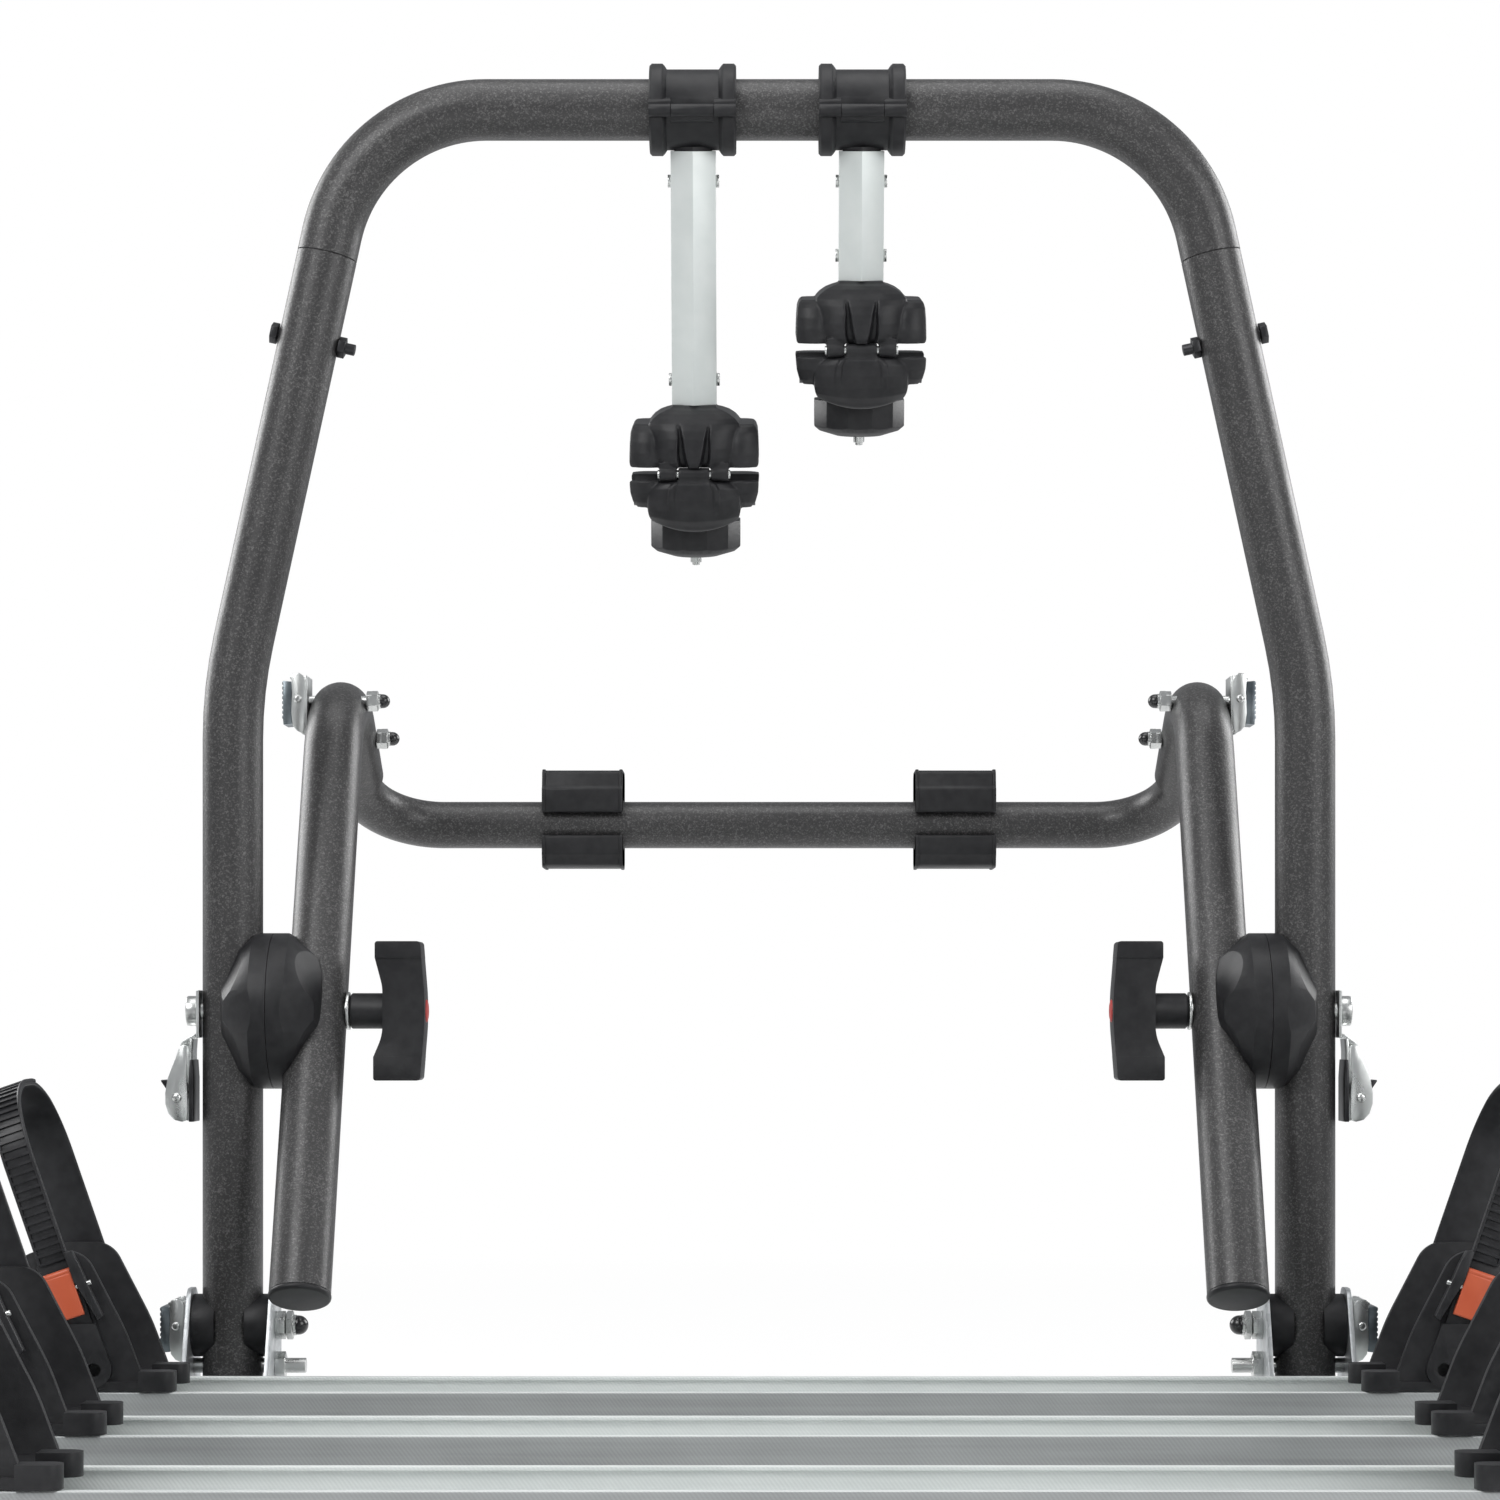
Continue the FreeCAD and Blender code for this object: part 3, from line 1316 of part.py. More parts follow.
def make_fixed_jaw(name, x, length):
    """The upper jaw: a domed block with a plug for the arm and half of the grip."""
    body = new_body(name + "_fixed_jaw")
    front = -d.jaw_hinge_front
    back = d.jaw_back
    split = -(d.jaw_hinge_drop - d.jaw_slot / 2)
    dome = [
        (front - 5, split, 2),
        (front - 5, split + 12, 8),
        (front + 6, -3, 14),
        (-d.jaw_collar / 2, 0),
        (d.jaw_collar / 2, 0),
        (back - 8, -3, 14),
        (back, split + 12, 8),
        (back, split, 2),
    ]
    core = d.jaw_width - 22
    slab(body, "dome", "X", 0, core, dome)
    ear = [
        (front - 1, split, 2),
        (front - 1, split + 12, 6),
        (front + 12, split + 21, 8),
        (back - 12, split + 21, 8),
        (back - 2, split + 12, 6),
        (back - 2, split, 2),
    ]
    slab(body, "ears", "X", 0, d.jaw_width, ear)
    hinge_z = -d.jaw_hinge_drop
    half = d.jaw_width / 2
    collar = d.jaw_collar / 2
    crown = [
        (-half, split - 1),
        (half, split - 1),
        (half, split + 8, 4),
        (half - 3, split + 19, 4),
        (half - 9.5, split + 22.5, 6),
        (collar + 3, 0.8, 16),
        (-collar - 3, 0.8, 16),
        (-half + 9.5, split + 22.5, 6),
        (-half + 3, split + 19, 4),
        (-half, split + 8, 4),
    ]
    trim(body, "crown", "Y", d.jaw_width * 2, crown)
    for number, sense in enumerate((-1, 1), start=1):
        flute = [(sense * 9.5, split - 1), (sense * 5.0, split - 1), (sense * 7.6, split + 21, 0.8)]
        slab(body, f"flute_{number}", "Y", front - 4, 6, flute, cut=True)
    pin = d.jaw_pin / 2
    knuckles = [
        (front - 6, split, 1),
        (front + 5, split),
        (front + 5, hinge_z, 1),
        (front, hinge_z - 5, 3),
        (front - 5.2, hinge_z, 3),
    ]
    for number, sense in enumerate((-1, 1), start=1):
        slab(body, f"knuckle_{number}", "X", sense * d.jaw_width * 0.2, d.jaw_width * 0.14, knuckles)
    plug = d.hex_width / 2 - d.hex_wall - d.slip_gap
    slab_hexagon(body, "plug", plug, d.hex_plug / 2 - 1, d.hex_plug + 2)
    grip = (d.grip_back, hinge_z, d.grip_radius)
    slab(body, "grip", "X", 0, d.jaw_width * 1.2, grip, cut=True)
    pin_hole = (front, hinge_z, pin + d.fit_gap)
    slab(body, "pin_way", "X", 0, d.jaw_width, pin_hole, cut=True)
    bolt_hole = (0, d.jaw_bolt_back, d.jaw_bolt / 2 + d.fit_gap)
    slab(body, "bolt_way", "Z", split, 16, bolt_hole, cut=True)
    hole = (0, d.hex_plug / 2 - 2, d.rivet / 2 + d.fit_gap)
    slab(body, "rivet_way", "X", 0, d.hex_width * 1.5, hole, cut=True)
    place_on_arm(body, x, length)
    return keep(body, name + "_fixed_jaw")


def make_moving_jaw(name, x, length):
    """The lower jaw, drawn about its own hinge at the front of the clamp."""
    body = new_body(name + "_moving_jaw")
    back = d.jaw_hinge_front + d.jaw_back
    bolt_y = d.jaw_hinge_front + d.jaw_bolt_back
    top = -d.jaw_slot / 2
    bottom = -d.jaw_depth
    core = [
        (-5, top, 2),
        (back, top, 2),
        (back, bottom + 4, 3),
        (bolt_y + 2, bottom + 4),
        (bolt_y + 2, bottom),
        (4, bottom, 8),
        (-5, bottom + 14, 10),
    ]
    slab(body, "core", "X", 0, d.jaw_width - 20, core)
    ears = [
        (-1, top, 2),
        (back - 2, top, 2),
        (back - 2, top - 10, 5),
        (back - 10, top - 15, 5),
        (8, top - 15, 5),
        (-1, top - 10, 5),
    ]
    slab(body, "ears", "X", 0, d.jaw_width, ears)
    half = d.jaw_width / 2
    skirt = [
        (-half, top + 1),
        (-half, top - 12, 5),
        (-half + 9.5, top - 17.5, 4),
        (-half + 10.5, bottom - 0.4, 4),
        (half - 10.5, bottom - 0.4, 4),
        (half - 9.5, top - 17.5, 4),
        (half, top - 12, 5),
        (half, top + 1),
    ]
    trim(body, "skirt", "Y", d.jaw_width * 3, skirt)
    for number, sense in enumerate((-1, 1), start=1):
        rib = [(-6.2, top - 5, 1), (-2, top - 5), (0, top - 17), (-4, top - 17, 1)]
        slab(body, f"rib_{number}", "X", sense * 13, 3, rib)
    boss = [
        (-5, top, 1),
        (-4.6, 0, 3),
        (0, 5, 4),
        (4.6, 0, 3),
        (5, top, 1),
        (0, top - 4),
    ]
    slab(body, "knuckle", "X", 0, d.jaw_width * 0.24, boss)
    room = Size(5.8)
    for number, sense in enumerate((-1, 1), start=1):
        width = d.jaw_width * 0.15
        clear = (0, 0, room)
        slab(body, f"knuckle_room_{number}", "X", sense * d.jaw_width * 0.2, width, clear, cut=True)
    grip = (d.jaw_hinge_front + d.grip_back, 0, d.grip_radius)
    slab(body, "grip", "X", 0, d.jaw_width * 1.2, grip, cut=True)
    slab(body, "pin_way", "X", 0, d.jaw_width, (0, 0, d.jaw_pin / 2 + d.fit_gap), cut=True)
    slot_half = d.jaw_bolt / 2 + d.seat_gap
    slot = [
        (-slot_half, bolt_y - slot_half),
        (slot_half, bolt_y - slot_half),
        (slot_half, back + 5),
        (-slot_half, back + 5),
    ]
    slab(body, "bolt_slot", "Z", bottom / 2, d.jaw_depth * 2, slot, cut=True)
    place_on_arm(body, x, length + d.jaw_hinge_drop, -d.jaw_hinge_front)
    return keep(body, name + "_moving_jaw")


def make_clamp_knob(name, x, length):
    """The faceted hand knob that draws the lower jaw up along its bolt."""
    body = new_body(name + "_clamp_knob")
    radius = d.screw_knob_diameter / 2
    height = d.screw_knob_height
    sides = 12
    ring = []
    for number in range(sides):
        angle = math.radians(360 * (number + 0.5) / sides)
        ring.append((radius * math.cos(angle), radius * math.sin(angle), 1.5))
    slab(body, "drum", "Z", -height / 2, height, ring)
    crown = [
        (-height * 1.1, radius * 0.3),
        (-height, radius * 0.5),
        (-height * 0.86, radius * 0.86),
        (-height * 0.66, radius * 1.05),
        (-height * 0.66, radius * 1.3),
        (-height * 1.1, radius * 1.3),
    ]
    turned(body, "bevel", "Z", crown, cut=True)
    bore = (0, 0, d.jaw_bolt / 2 + d.fit_gap)
    slab(body, "thread", "Z", -height / 2, height * 2, bore, cut=True)
    drop = length + d.jaw_hinge_drop + d.jaw_depth + d.screw_knob_gap
    place_on_arm(body, x, drop, d.jaw_bolt_back)
    return keep(body, name + "_clamp_knob")


def make_arm_fasteners(name, x, length):
    """Rivets through the arm's ends, the jaw's hinge pin and its closing bolt."""
    items = []
    for end, drop in (("top", d.clamp_flange + d.hex_plug / 2 - 2), ("low", length - d.hex_plug / 2 + 2)):
        label = f"{name}_rivet_{end}"
        long_rod = rod(label + "_rod", d.rivet / 2, d.hex_width, -d.hex_width / 2)
        heads = []
        for sense in (-1, 1):
            start = d.hex_width / 2 if sense > 0 else -d.hex_width / 2 - 1.8
            heads.append(rod(f"{label}_head_{sense + 2}", d.rivet * 0.85, 1.8, start))
        rivet = fuse(label, [long_rod] + heads)
        lay_on_arm(rivet, x, drop, 0)
        items.append(rivet)
    pin_length = d.jaw_width * 0.56
    pin = rod(name + "_jaw_pin", d.jaw_pin / 2, pin_length, -pin_length / 2)
    pin_group = fuse(name + "_hinge_pin", [pin, rod(name + "_pin_core", d.jaw_pin / 4, pin_length / 2, 0)])
    lay_on_arm(pin_group, x, length + d.jaw_hinge_drop, -d.jaw_hinge_front)
    items.append(pin_group)
    run = d.jaw_hinge_drop - d.jaw_slot / 2 + d.jaw_depth + d.screw_knob_height + 4
    start = d.jaw_hinge_drop - d.jaw_slot / 2 - 8
    stud = rod(name + "_stud", d.jaw_bolt / 2, run - start + 4, 0)
    tip = rod(name + "_stud_tip", d.jaw_bolt / 3, 1.5, -1.5)
    closing = fuse(name + "_closing_bolt", [stud, tip])
    place_on_arm(closing, x, length + run + 4, d.jaw_bolt_back)
    items.append(closing)
    return group(name + "_arm_fasteners", items)


def lay_on_arm(feature, x, drop, back):
    """Seat a piece drawn along Z so that it lies along X on a bike arm."""
    place_on_arm(feature, x, drop, back)
    feature.setExpression("Placement.Rotation.Angle", None)
    base = feature.Placement.Base
    feature.Placement = Placement(base, Rotation(Vector(0, 1, 0), 90))


def make_bike_arm(name, x, length):
    make_top_clamp(name, x)
    make_arm_tube(name, x, length)
    make_fixed_jaw(name, x, length)
    make_moving_jaw(name, x, length)
    make_clamp_knob(name, x, length)
    make_arm_fasteners(name, x, length)


def build():
    make_upper_hoop()
    for word, side in SIDES.items():
        make_leg(word, side)
        make_joint_half(f"leg_joint_half_{word}", side, inner=False)
        make_joint_half(f"arm_joint_half_{word}", side, inner=True)
        make_arm(word, side)
        make_side_buckle(word, side)
        make_tee_knob(word, side)
        make_beam(word, side)
    make_hoop_bolts()
    make_joint_bolts()
    make_hinge_bushes()
    make_crossbar()
    make_tailgate_pads()
    make_arm_end_caps()
    make_arm_bolts()
    top = top_bolt_point()
    x = d.arm_offset + TUBE_RADIUS
    make_fixed_buckles("upper_buckles", x, top[0], top[1], d.hoop_bolt)
    x = d.leg_offset + BEAM_HALF + d.sheet_thick
    make_fixed_buckles("lower_buckles", x, 0, d.hinge_height, d.hinge_bolt)
    for name, y in rail_centres().items():
        make_rail(name, y)
        shift = d.front_cradle_shift if name == "front" else Size(0)
        for word, side in SIDES.items():
            x = d.cradle_offset - shift
            label = f"{name}_{word}"
            make_cradle(label, side, x, y)
            make_strap(label, side, x, y)
            make_lever(label, side, x, y)
    make_platform_bolts()
    make_bike_arm("long", d.long_arm_offset, d.long_arm_length)
    make_bike_arm("short", d.short_arm_offset, d.short_arm_length)


def check_and_export():
    """Stop if any object failed or a piece isn't a sound solid, then write the files."""
    document.recompute()
    faults = []
    for item in document.Objects:
        if "Invalid" in item.State or "Error" in item.State:
            faults.append(f"{item.Name} {item.State}")
    for name, feature in finished.items():
        shape = feature.Shape
        if shape.isNull() or not shape.isValid() or not shape.Solids:
            faults.append(f"{name} has no sound solid")
    if faults:
        raise RuntimeError("; ".join(faults))
    os.makedirs("parts", exist_ok=True)
    for name, feature in finished.items():
        feature.Shape.exportStep(f"parts/{name}.step")
    print(len(finished), "pieces written")


build()
check_and_export()
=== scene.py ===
# An upright bicycle carrier for a car's rear door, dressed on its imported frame.
# Metres. X to the right, Y towards the car, Z up, the floor at Z 0.

import json
import logging
import math
from dataclasses import dataclass, field
from enum import Enum
from typing import Callable, Iterable, Sequence

import bmesh
import bpy
from mathutils import Matrix, Vector

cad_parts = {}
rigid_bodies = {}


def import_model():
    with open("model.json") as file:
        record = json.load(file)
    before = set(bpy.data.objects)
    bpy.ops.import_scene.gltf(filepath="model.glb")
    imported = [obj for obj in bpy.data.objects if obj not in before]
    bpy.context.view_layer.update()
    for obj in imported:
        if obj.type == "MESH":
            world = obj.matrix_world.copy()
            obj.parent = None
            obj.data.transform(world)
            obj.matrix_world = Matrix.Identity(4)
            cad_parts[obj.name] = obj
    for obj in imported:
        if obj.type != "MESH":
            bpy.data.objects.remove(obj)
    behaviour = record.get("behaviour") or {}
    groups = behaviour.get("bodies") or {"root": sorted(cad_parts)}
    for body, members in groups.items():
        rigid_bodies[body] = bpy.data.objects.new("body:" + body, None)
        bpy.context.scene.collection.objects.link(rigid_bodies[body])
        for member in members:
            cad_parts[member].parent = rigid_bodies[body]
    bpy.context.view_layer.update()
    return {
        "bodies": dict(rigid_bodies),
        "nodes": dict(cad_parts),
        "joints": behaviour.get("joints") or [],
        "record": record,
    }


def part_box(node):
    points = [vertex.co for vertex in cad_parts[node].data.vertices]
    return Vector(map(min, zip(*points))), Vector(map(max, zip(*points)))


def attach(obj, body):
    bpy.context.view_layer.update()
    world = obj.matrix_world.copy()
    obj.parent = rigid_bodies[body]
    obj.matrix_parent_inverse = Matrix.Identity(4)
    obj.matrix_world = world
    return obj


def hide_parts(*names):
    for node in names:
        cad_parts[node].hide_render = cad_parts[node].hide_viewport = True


LOG = logging.getLogger("bike_rack")

SIDES = {"left": -1.0, "right": 1.0}
RAILS = {"back": -0.088, "middle": -0.286, "front": -0.484}
SHIFT = 0.13881
TUBE_RADIUS = 0.016
Point = tuple[float, float]
Mesh = tuple[list[Vector], list[tuple[int, ...]]]
Socket = bpy.types.NodeSocket


class Relief(Enum):
    """How a finish breaks up its surface."""

    HAMMERED = "hammered"
    GRAINED = "grained"
    BRUSHED = "brushed"
    SPANGLED = "spangled"
    HATCHED = "hatched"
    SMOOTH = "smooth"


@dataclass(frozen=True)
class Finish:
    """One surface finish, built as a procedural material.

    Args:
        name: the material's name.
        base: the main colour.
        accent: the colour that flecks, wear or dust add.
        metallic: how much the surface is bare metal.
        roughness: the middle of the roughness range.
        relief: the kind of break-up.
        depth: the height of the relief in metres.
        coat: the strength of a clear coat.
        shine: the level of plain reflection, 0.5 for a common plastic or paint.
    """

    name: str
    base: tuple[float, float, float]
    accent: tuple[float, float, float]
    metallic: float
    roughness: float
    relief: Relief
    depth: float = 0.00005
    coat: float = 0.0
    shine: float = 0.5

    def build(self) -> bpy.types.Material:
        """Make the material.

        Returns:
            The material, with its node tree built.
        """
        material = bpy.data.materials.new(self.name)
        material.use_nodes = True
        material.diffuse_color = (*self.base, 1.0)
        tree = material.node_tree
        shader = tree.nodes["Principled BSDF"]
        shader.inputs["Metallic"].default_value = self.metallic
        shader.inputs["Coat Weight"].default_value = self.coat
        shader.inputs["Coat Roughness"].default_value = 0.25
        shader.inputs["Specular IOR Level"].default_value = self.shine
        place = tree.nodes.new("ShaderNodeTexCoord").outputs["Object"]
        broad = self._noise(tree, place, 22.0, 3.0)
        makers: dict[Relief, Callable] = {
            Relief.HAMMERED: self._hammered,
            Relief.GRAINED: self._grained,
            Relief.BRUSHED: self._brushed,
            Relief.SPANGLED: self._spangled,
            Relief.HATCHED: self._hatched,
            Relief.SMOOTH: self._smooth,
        }
        fleck, height = makers[self.relief](tree, place)
        blend = self._maths(tree, "MULTIPLY_ADD", broad, 0.35, fleck)
        tree.links.new(self._colours(tree, blend), shader.inputs["Base Color"])
        rough = self._range(tree, broad, self.roughness - 0.06, self.roughness + 0.07)
        tree.links.new(rough, shader.inputs["Roughness"])
        bump = tree.nodes.new("ShaderNodeBump")
        bump.inputs["Distance"].default_value = self.depth
        bump.inputs["Strength"].default_value = 1.0
        tree.links.new(height, bump.inputs["Height"])
        tree.links.new(bump.outputs["Normal"], shader.inputs["Normal"])
        return material

    def _noise(self, tree: bpy.types.NodeTree, place: Socket, scale: float, detail: float) -> Socket:
        """A noise value at a number of cells to the metre.

        Args:
            tree: the material's node tree.
            place: the coordinates that the pattern reads.
            scale: the cells to the metre.
            detail: the number of finer layers.

        Returns:
            The noise's socket.
        """
        node = tree.nodes.new("ShaderNodeTexNoise")
        node.inputs["Scale"].default_value = scale
        node.inputs["Detail"].default_value = detail
        tree.links.new(place, node.inputs["Vector"])
        return node.outputs["Fac"]

    def _cells(self, tree: bpy.types.NodeTree, place: Socket, scale: float, output: str) -> Socket:
        """A cell pattern at a number of cells to the metre.

        Args:
            tree: the material's node tree.
            place: the coordinates that the pattern reads.
            scale: the cells to the metre.
            output: the pattern's output to use.

        Returns:
            The pattern's socket.
        """
        node = tree.nodes.new("ShaderNodeTexVoronoi")
        node.inputs["Scale"].default_value = scale
        tree.links.new(place, node.inputs["Vector"])
        return node.outputs[output]

    def _stretch(self, tree: bpy.types.NodeTree, place: Socket, scale: Vector, turn: Vector) -> Socket:
        """The coordinates turned and stretched, for a pattern with a direction.

        Args:
            tree: the material's node tree.
            place: the coordinates that the pattern reads.
            scale: the stretch along each axis.
            turn: the turn about each axis.

        Returns:
            The new coordinates.
        """
        node = tree.nodes.new("ShaderNodeMapping")
        node.inputs["Scale"].default_value = scale
        node.inputs["Rotation"].default_value = turn
        tree.links.new(place, node.inputs["Vector"])
        return node.outputs["Vector"]

    def _maths(self, tree: bpy.types.NodeTree, kind: str, *values: Socket | float) -> Socket:
        """One arithmetic node over links and plain numbers.

        Args:
            tree: the material's node tree.
            kind: the operation.
            values: links or plain numbers.

        Returns:
            The result's socket.
        """
        node = tree.nodes.new("ShaderNodeMath")
        node.operation = kind
        for socket, value in zip(node.inputs, values):
            if isinstance(value, (int, float)):
                socket.default_value = value
            else:
                tree.links.new(value, socket)
        return node.outputs[0]

    def _range(self, tree: bpy.types.NodeTree, value: Socket, low: float, high: float,
               start: float = 0.3, end: float = 0.7) -> Socket:
        """A value spread over a new range.

        Args:
            tree: the material's node tree.
            value: the value to spread.
            low: the new range's low end.
            high: the new range's high end.
            start: the old range's low end.
            end: the old range's high end.

        Returns:
            The new value's socket.
        """
        node = tree.nodes.new("ShaderNodeMapRange")
        node.inputs["From Min"].default_value = start
        node.inputs["From Max"].default_value = end
        node.inputs["To Min"].default_value = low
        node.inputs["To Max"].default_value = high
        tree.links.new(value, node.inputs["Value"])
        return node.outputs["Result"]

    def _colours(self, tree: bpy.types.NodeTree, value: Socket) -> Socket:
        """The base and accent colours, mixed by a value.

        Args:
            tree: the material's node tree.
            value: how much of the accent shows.

        Returns:
            The colour's socket.
        """
        ramp = tree.nodes.new("ShaderNodeValToRGB")
        ramp.color_ramp.elements[0].position = 0.2
        ramp.color_ramp.elements[0].color = (*self.base, 1.0)
        ramp.color_ramp.elements[1].position = 1.0
        ramp.color_ramp.elements[1].color = (*self.accent, 1.0)
        tree.links.new(value, ramp.inputs["Fac"])
        return ramp.outputs["Color"]

    def _hammered(self, tree: bpy.types.NodeTree, place: Socket) -> tuple[Socket, Socket]:
        """Fine pebbled paint with bright flecks.

        Args:
            tree: the material's node tree.
            place: the coordinates that the pattern reads.

        Returns:
            How much of the accent shows, and the relief's height.
        """
        pebbles = self._noise(tree, place, 620.0, 2.0)
        grains = self._cells(tree, place, 1500.0, "Color")
        split = tree.nodes.new("ShaderNodeSeparateColor")
        tree.links.new(grains, split.inputs["Color"])
        fleck = self._range(tree, split.outputs[0], -0.15, 0.32, 0.45, 1.0)
        coarse = self._range(tree, pebbles, -0.12, 0.28)
        return self._maths(tree, "ADD", fleck, coarse), pebbles

    def _grained(self, tree: bpy.types.NodeTree, place: Socket) -> tuple[Socket, Socket]:
        """Spark-eroded moulding grain.

        Args:
            tree: the material's node tree.
            place: the coordinates that the pattern reads.

        Returns:
            How much of the accent shows, and the relief's height.
        """
        grain = self._noise(tree, place, 2400.0, 2.0)
        dust = self._noise(tree, place, 160.0, 4.0)
        return self._range(tree, dust, 0.0, 0.35), grain

    def _brushed(self, tree: bpy.types.NodeTree, place: Socket) -> tuple[Socket, Socket]:
        """Fine scratches and soft smears on plated or anodised metal.

        Args:
            tree: the material's node tree.
            place: the coordinates that the pattern reads.

        Returns:
            How much of the accent shows, and the relief's height.
        """
        along = self._stretch(tree, place, Vector((260.0, 260.0, 4200.0)), Vector((0.0, 0.0, 0.0)))
        lines = self._noise(tree, along, 1.0, 3.0)
        smear = self._noise(tree, place, 70.0, 5.0)
        return self._range(tree, smear, 0.0, 0.5), lines

    def _spangled(self, tree: bpy.types.NodeTree, place: Socket) -> tuple[Socket, Socket]:
        """The crystal patches of galvanised sheet.

        Args:
            tree: the material's node tree.
            place: the coordinates that the pattern reads.

        Returns:
            How much of the accent shows, and the relief's height.
        """
        patches = self._cells(tree, place, 240.0, "Color")
        split = tree.nodes.new("ShaderNodeSeparateColor")
        tree.links.new(patches, split.inputs["Color"])
        ripple = self._noise(tree, place, 380.0, 3.0)
        return self._range(tree, split.outputs[1], 0.0, 0.6, 0.0, 1.0), ripple

    def _hatched(self, tree: bpy.types.NodeTree, place: Socket) -> tuple[Socket, Socket]:
        """The fine slanting ribs rolled into the rails.

        Args:
            tree: the material's node tree.
            place: the coordinates that the pattern reads.

        Returns:
            How much of the accent shows, and the relief's height.
        """
        slant = self._stretch(tree, place, Vector((300.0, 300.0, 300.0)), Vector((0.6, 0.75, 0.0)))
        wave = tree.nodes.new("ShaderNodeTexWave")
        wave.bands_direction = "X"
        wave.inputs["Scale"].default_value = 0.75
        wave.inputs["Distortion"].default_value = 0.6
        tree.links.new(slant, wave.inputs["Vector"])
        lines = wave.outputs["Fac"]
        streak = self._noise(tree, self._stretch(tree, place, Vector((6.0, 240.0, 240.0)),
                                                 Vector((0.0, 0.0, 0.0))), 1.0, 3.0)
        tone = self._maths(tree, "MULTIPLY_ADD", lines, 0.22, self._range(tree, streak, 0.0, 0.35))
        return tone, lines

    def _smooth(self, tree: bpy.types.NodeTree, place: Socket) -> tuple[Socket, Socket]:
        """A glossy moulding with faint ripples."""
        ripple = self._noise(tree, place, 90.0, 3.0)
        return self._range(tree, ripple, 0.0, 0.3), ripple


@dataclass(frozen=True)
class Finishes:
    """Every finish on the rack, by its record slot."""

    powder_coat: Finish = Finish(
        "powder_coat", (0.038, 0.037, 0.0375), (0.165, 0.162, 0.160), 0.25, 0.44, Relief.HAMMERED,
        0.00016, 0.2)
    black_moulding: Finish = Finish(
        "black_moulding", (0.010, 0.010, 0.0115), (0.032, 0.032, 0.034), 0.0, 0.46, Relief.GRAINED,
        0.00005, shine=0.36)
    black_hardware: Finish = Finish(
        "black_hardware", (0.03, 0.03, 0.032), (0.09, 0.09, 0.095), 0.8, 0.36, Relief.BRUSHED, 0.00002)
    zinc_hardware: Finish = Finish(
        "zinc_hardware", (0.55, 0.56, 0.55), (0.80, 0.81, 0.80), 0.95, 0.27, Relief.BRUSHED, 0.00002)
    zinc_buckle: Finish = Finish(
        "zinc_buckle", (0.60, 0.62, 0.61), (0.82, 0.83, 0.82), 0.92, 0.30, Relief.BRUSHED, 0.00002)
    galvanised_sheet: Finish = Finish(
        "galvanised_sheet", (0.48, 0.50, 0.51), (0.66, 0.68, 0.69), 0.75, 0.40, Relief.SPANGLED, 0.00003)
    arm_aluminium: Finish = Finish(
        "arm_aluminium", (0.66, 0.70, 0.685), (0.74, 0.77, 0.755), 0.35, 0.42, Relief.BRUSHED, 0.00001)
    rail_aluminium: Finish = Finish(
        "rail_aluminium", (0.63, 0.66, 0.65), (0.82, 0.84, 0.83), 0.12, 0.42, Relief.HATCHED, 0.00005)
    # A darker copy of the rail aluminium: painted shade for the rails' outer front faces.
    rail_face: Finish = Finish(
        "rail_face", (0.30, 0.31, 0.31), (0.46, 0.48, 0.48), 0.35, 0.40, Relief.HATCHED, 0.00004)
    buckle_lever: Finish = Finish(
        "buckle_lever", (0.10, 0.12, 0.135), (0.42, 0.47, 0.50), 0.85, 0.32, Relief.BRUSHED, 0.00003)
    strap_polymer: Finish = Finish(
        "strap_polymer", (0.013, 0.013, 0.0145), (0.04, 0.04, 0.044), 0.0, 0.42, Relief.GRAINED,
        0.00003, shine=0.42)
    lever_orange: Finish = Finish(
        "lever_orange", (0.56, 0.105, 0.045), (0.66, 0.15, 0.07), 0.0, 0.40, Relief.SMOOTH, 0.00003)
    cap_red: Finish = Finish(
        "cap_red", (0.42, 0.03, 0.025), (0.5, 0.06, 0.05), 0.0, 0.42, Relief.SMOOTH, 0.00003)
    cap_black: Finish = Finish(
        "cap_black", (0.008, 0.008, 0.009), (0.02, 0.02, 0.02), 0.0, 0.22, Relief.SMOOTH, 0.00002, 0.4)

    def build(self) -> dict[str, bpy.types.Material]:
        """Build every material.

        Returns:
            The materials by name.
        """
        return {name: getattr(self, name).build() for name in self.__dataclass_fields__}


def at(x: float, y: float, z: float) -> Vector:
    """A point of the drawing, whose Y is counted from the hoop's plane."""
    return Vector((x, y + SHIFT, z))


def rounded_path(corners: Sequence[tuple[Vector, float]], step: float = 0.05) -> list[Vector]:
    """Straight runs through corners, with each corner rounded by an arc.

    Args:
        corners: each corner and its bend radius; the ends' radii aren't used.
        step: the angle of one chord of an arc, in radians.

    Returns:
        The points along the path.
    """
    points = [corners[0][0].copy()]
    for (before, _), (corner, radius), (after, _) in zip(corners, corners[1:], corners[2:]):
        back = (before - corner).normalized()
        ahead = (after - corner).normalized()
        turn = math.pi - back.angle(ahead)
        reach = radius * math.tan(turn / 2.0)
        centre = corner + (back + ahead).normalized() * (radius / math.cos(turn / 2.0))
        start = corner + back * reach - centre
        axis = start.cross(corner + ahead * reach - centre).normalized()
        count = max(2, int(turn / step))
        for number in range(count + 1):
            points.append(centre + Matrix.Rotation(turn * number / count, 3, axis) @ start)
    points.append(corners[-1][0].copy())
    return points


def ring(radius: float, sides: int = 48) -> list[Point]:
    """A circle as a section for a sweep."""
    turns = (2.0 * math.pi * number / sides for number in range(sides))
    return [(radius * math.cos(turn), radius * math.sin(turn)) for turn in turns]


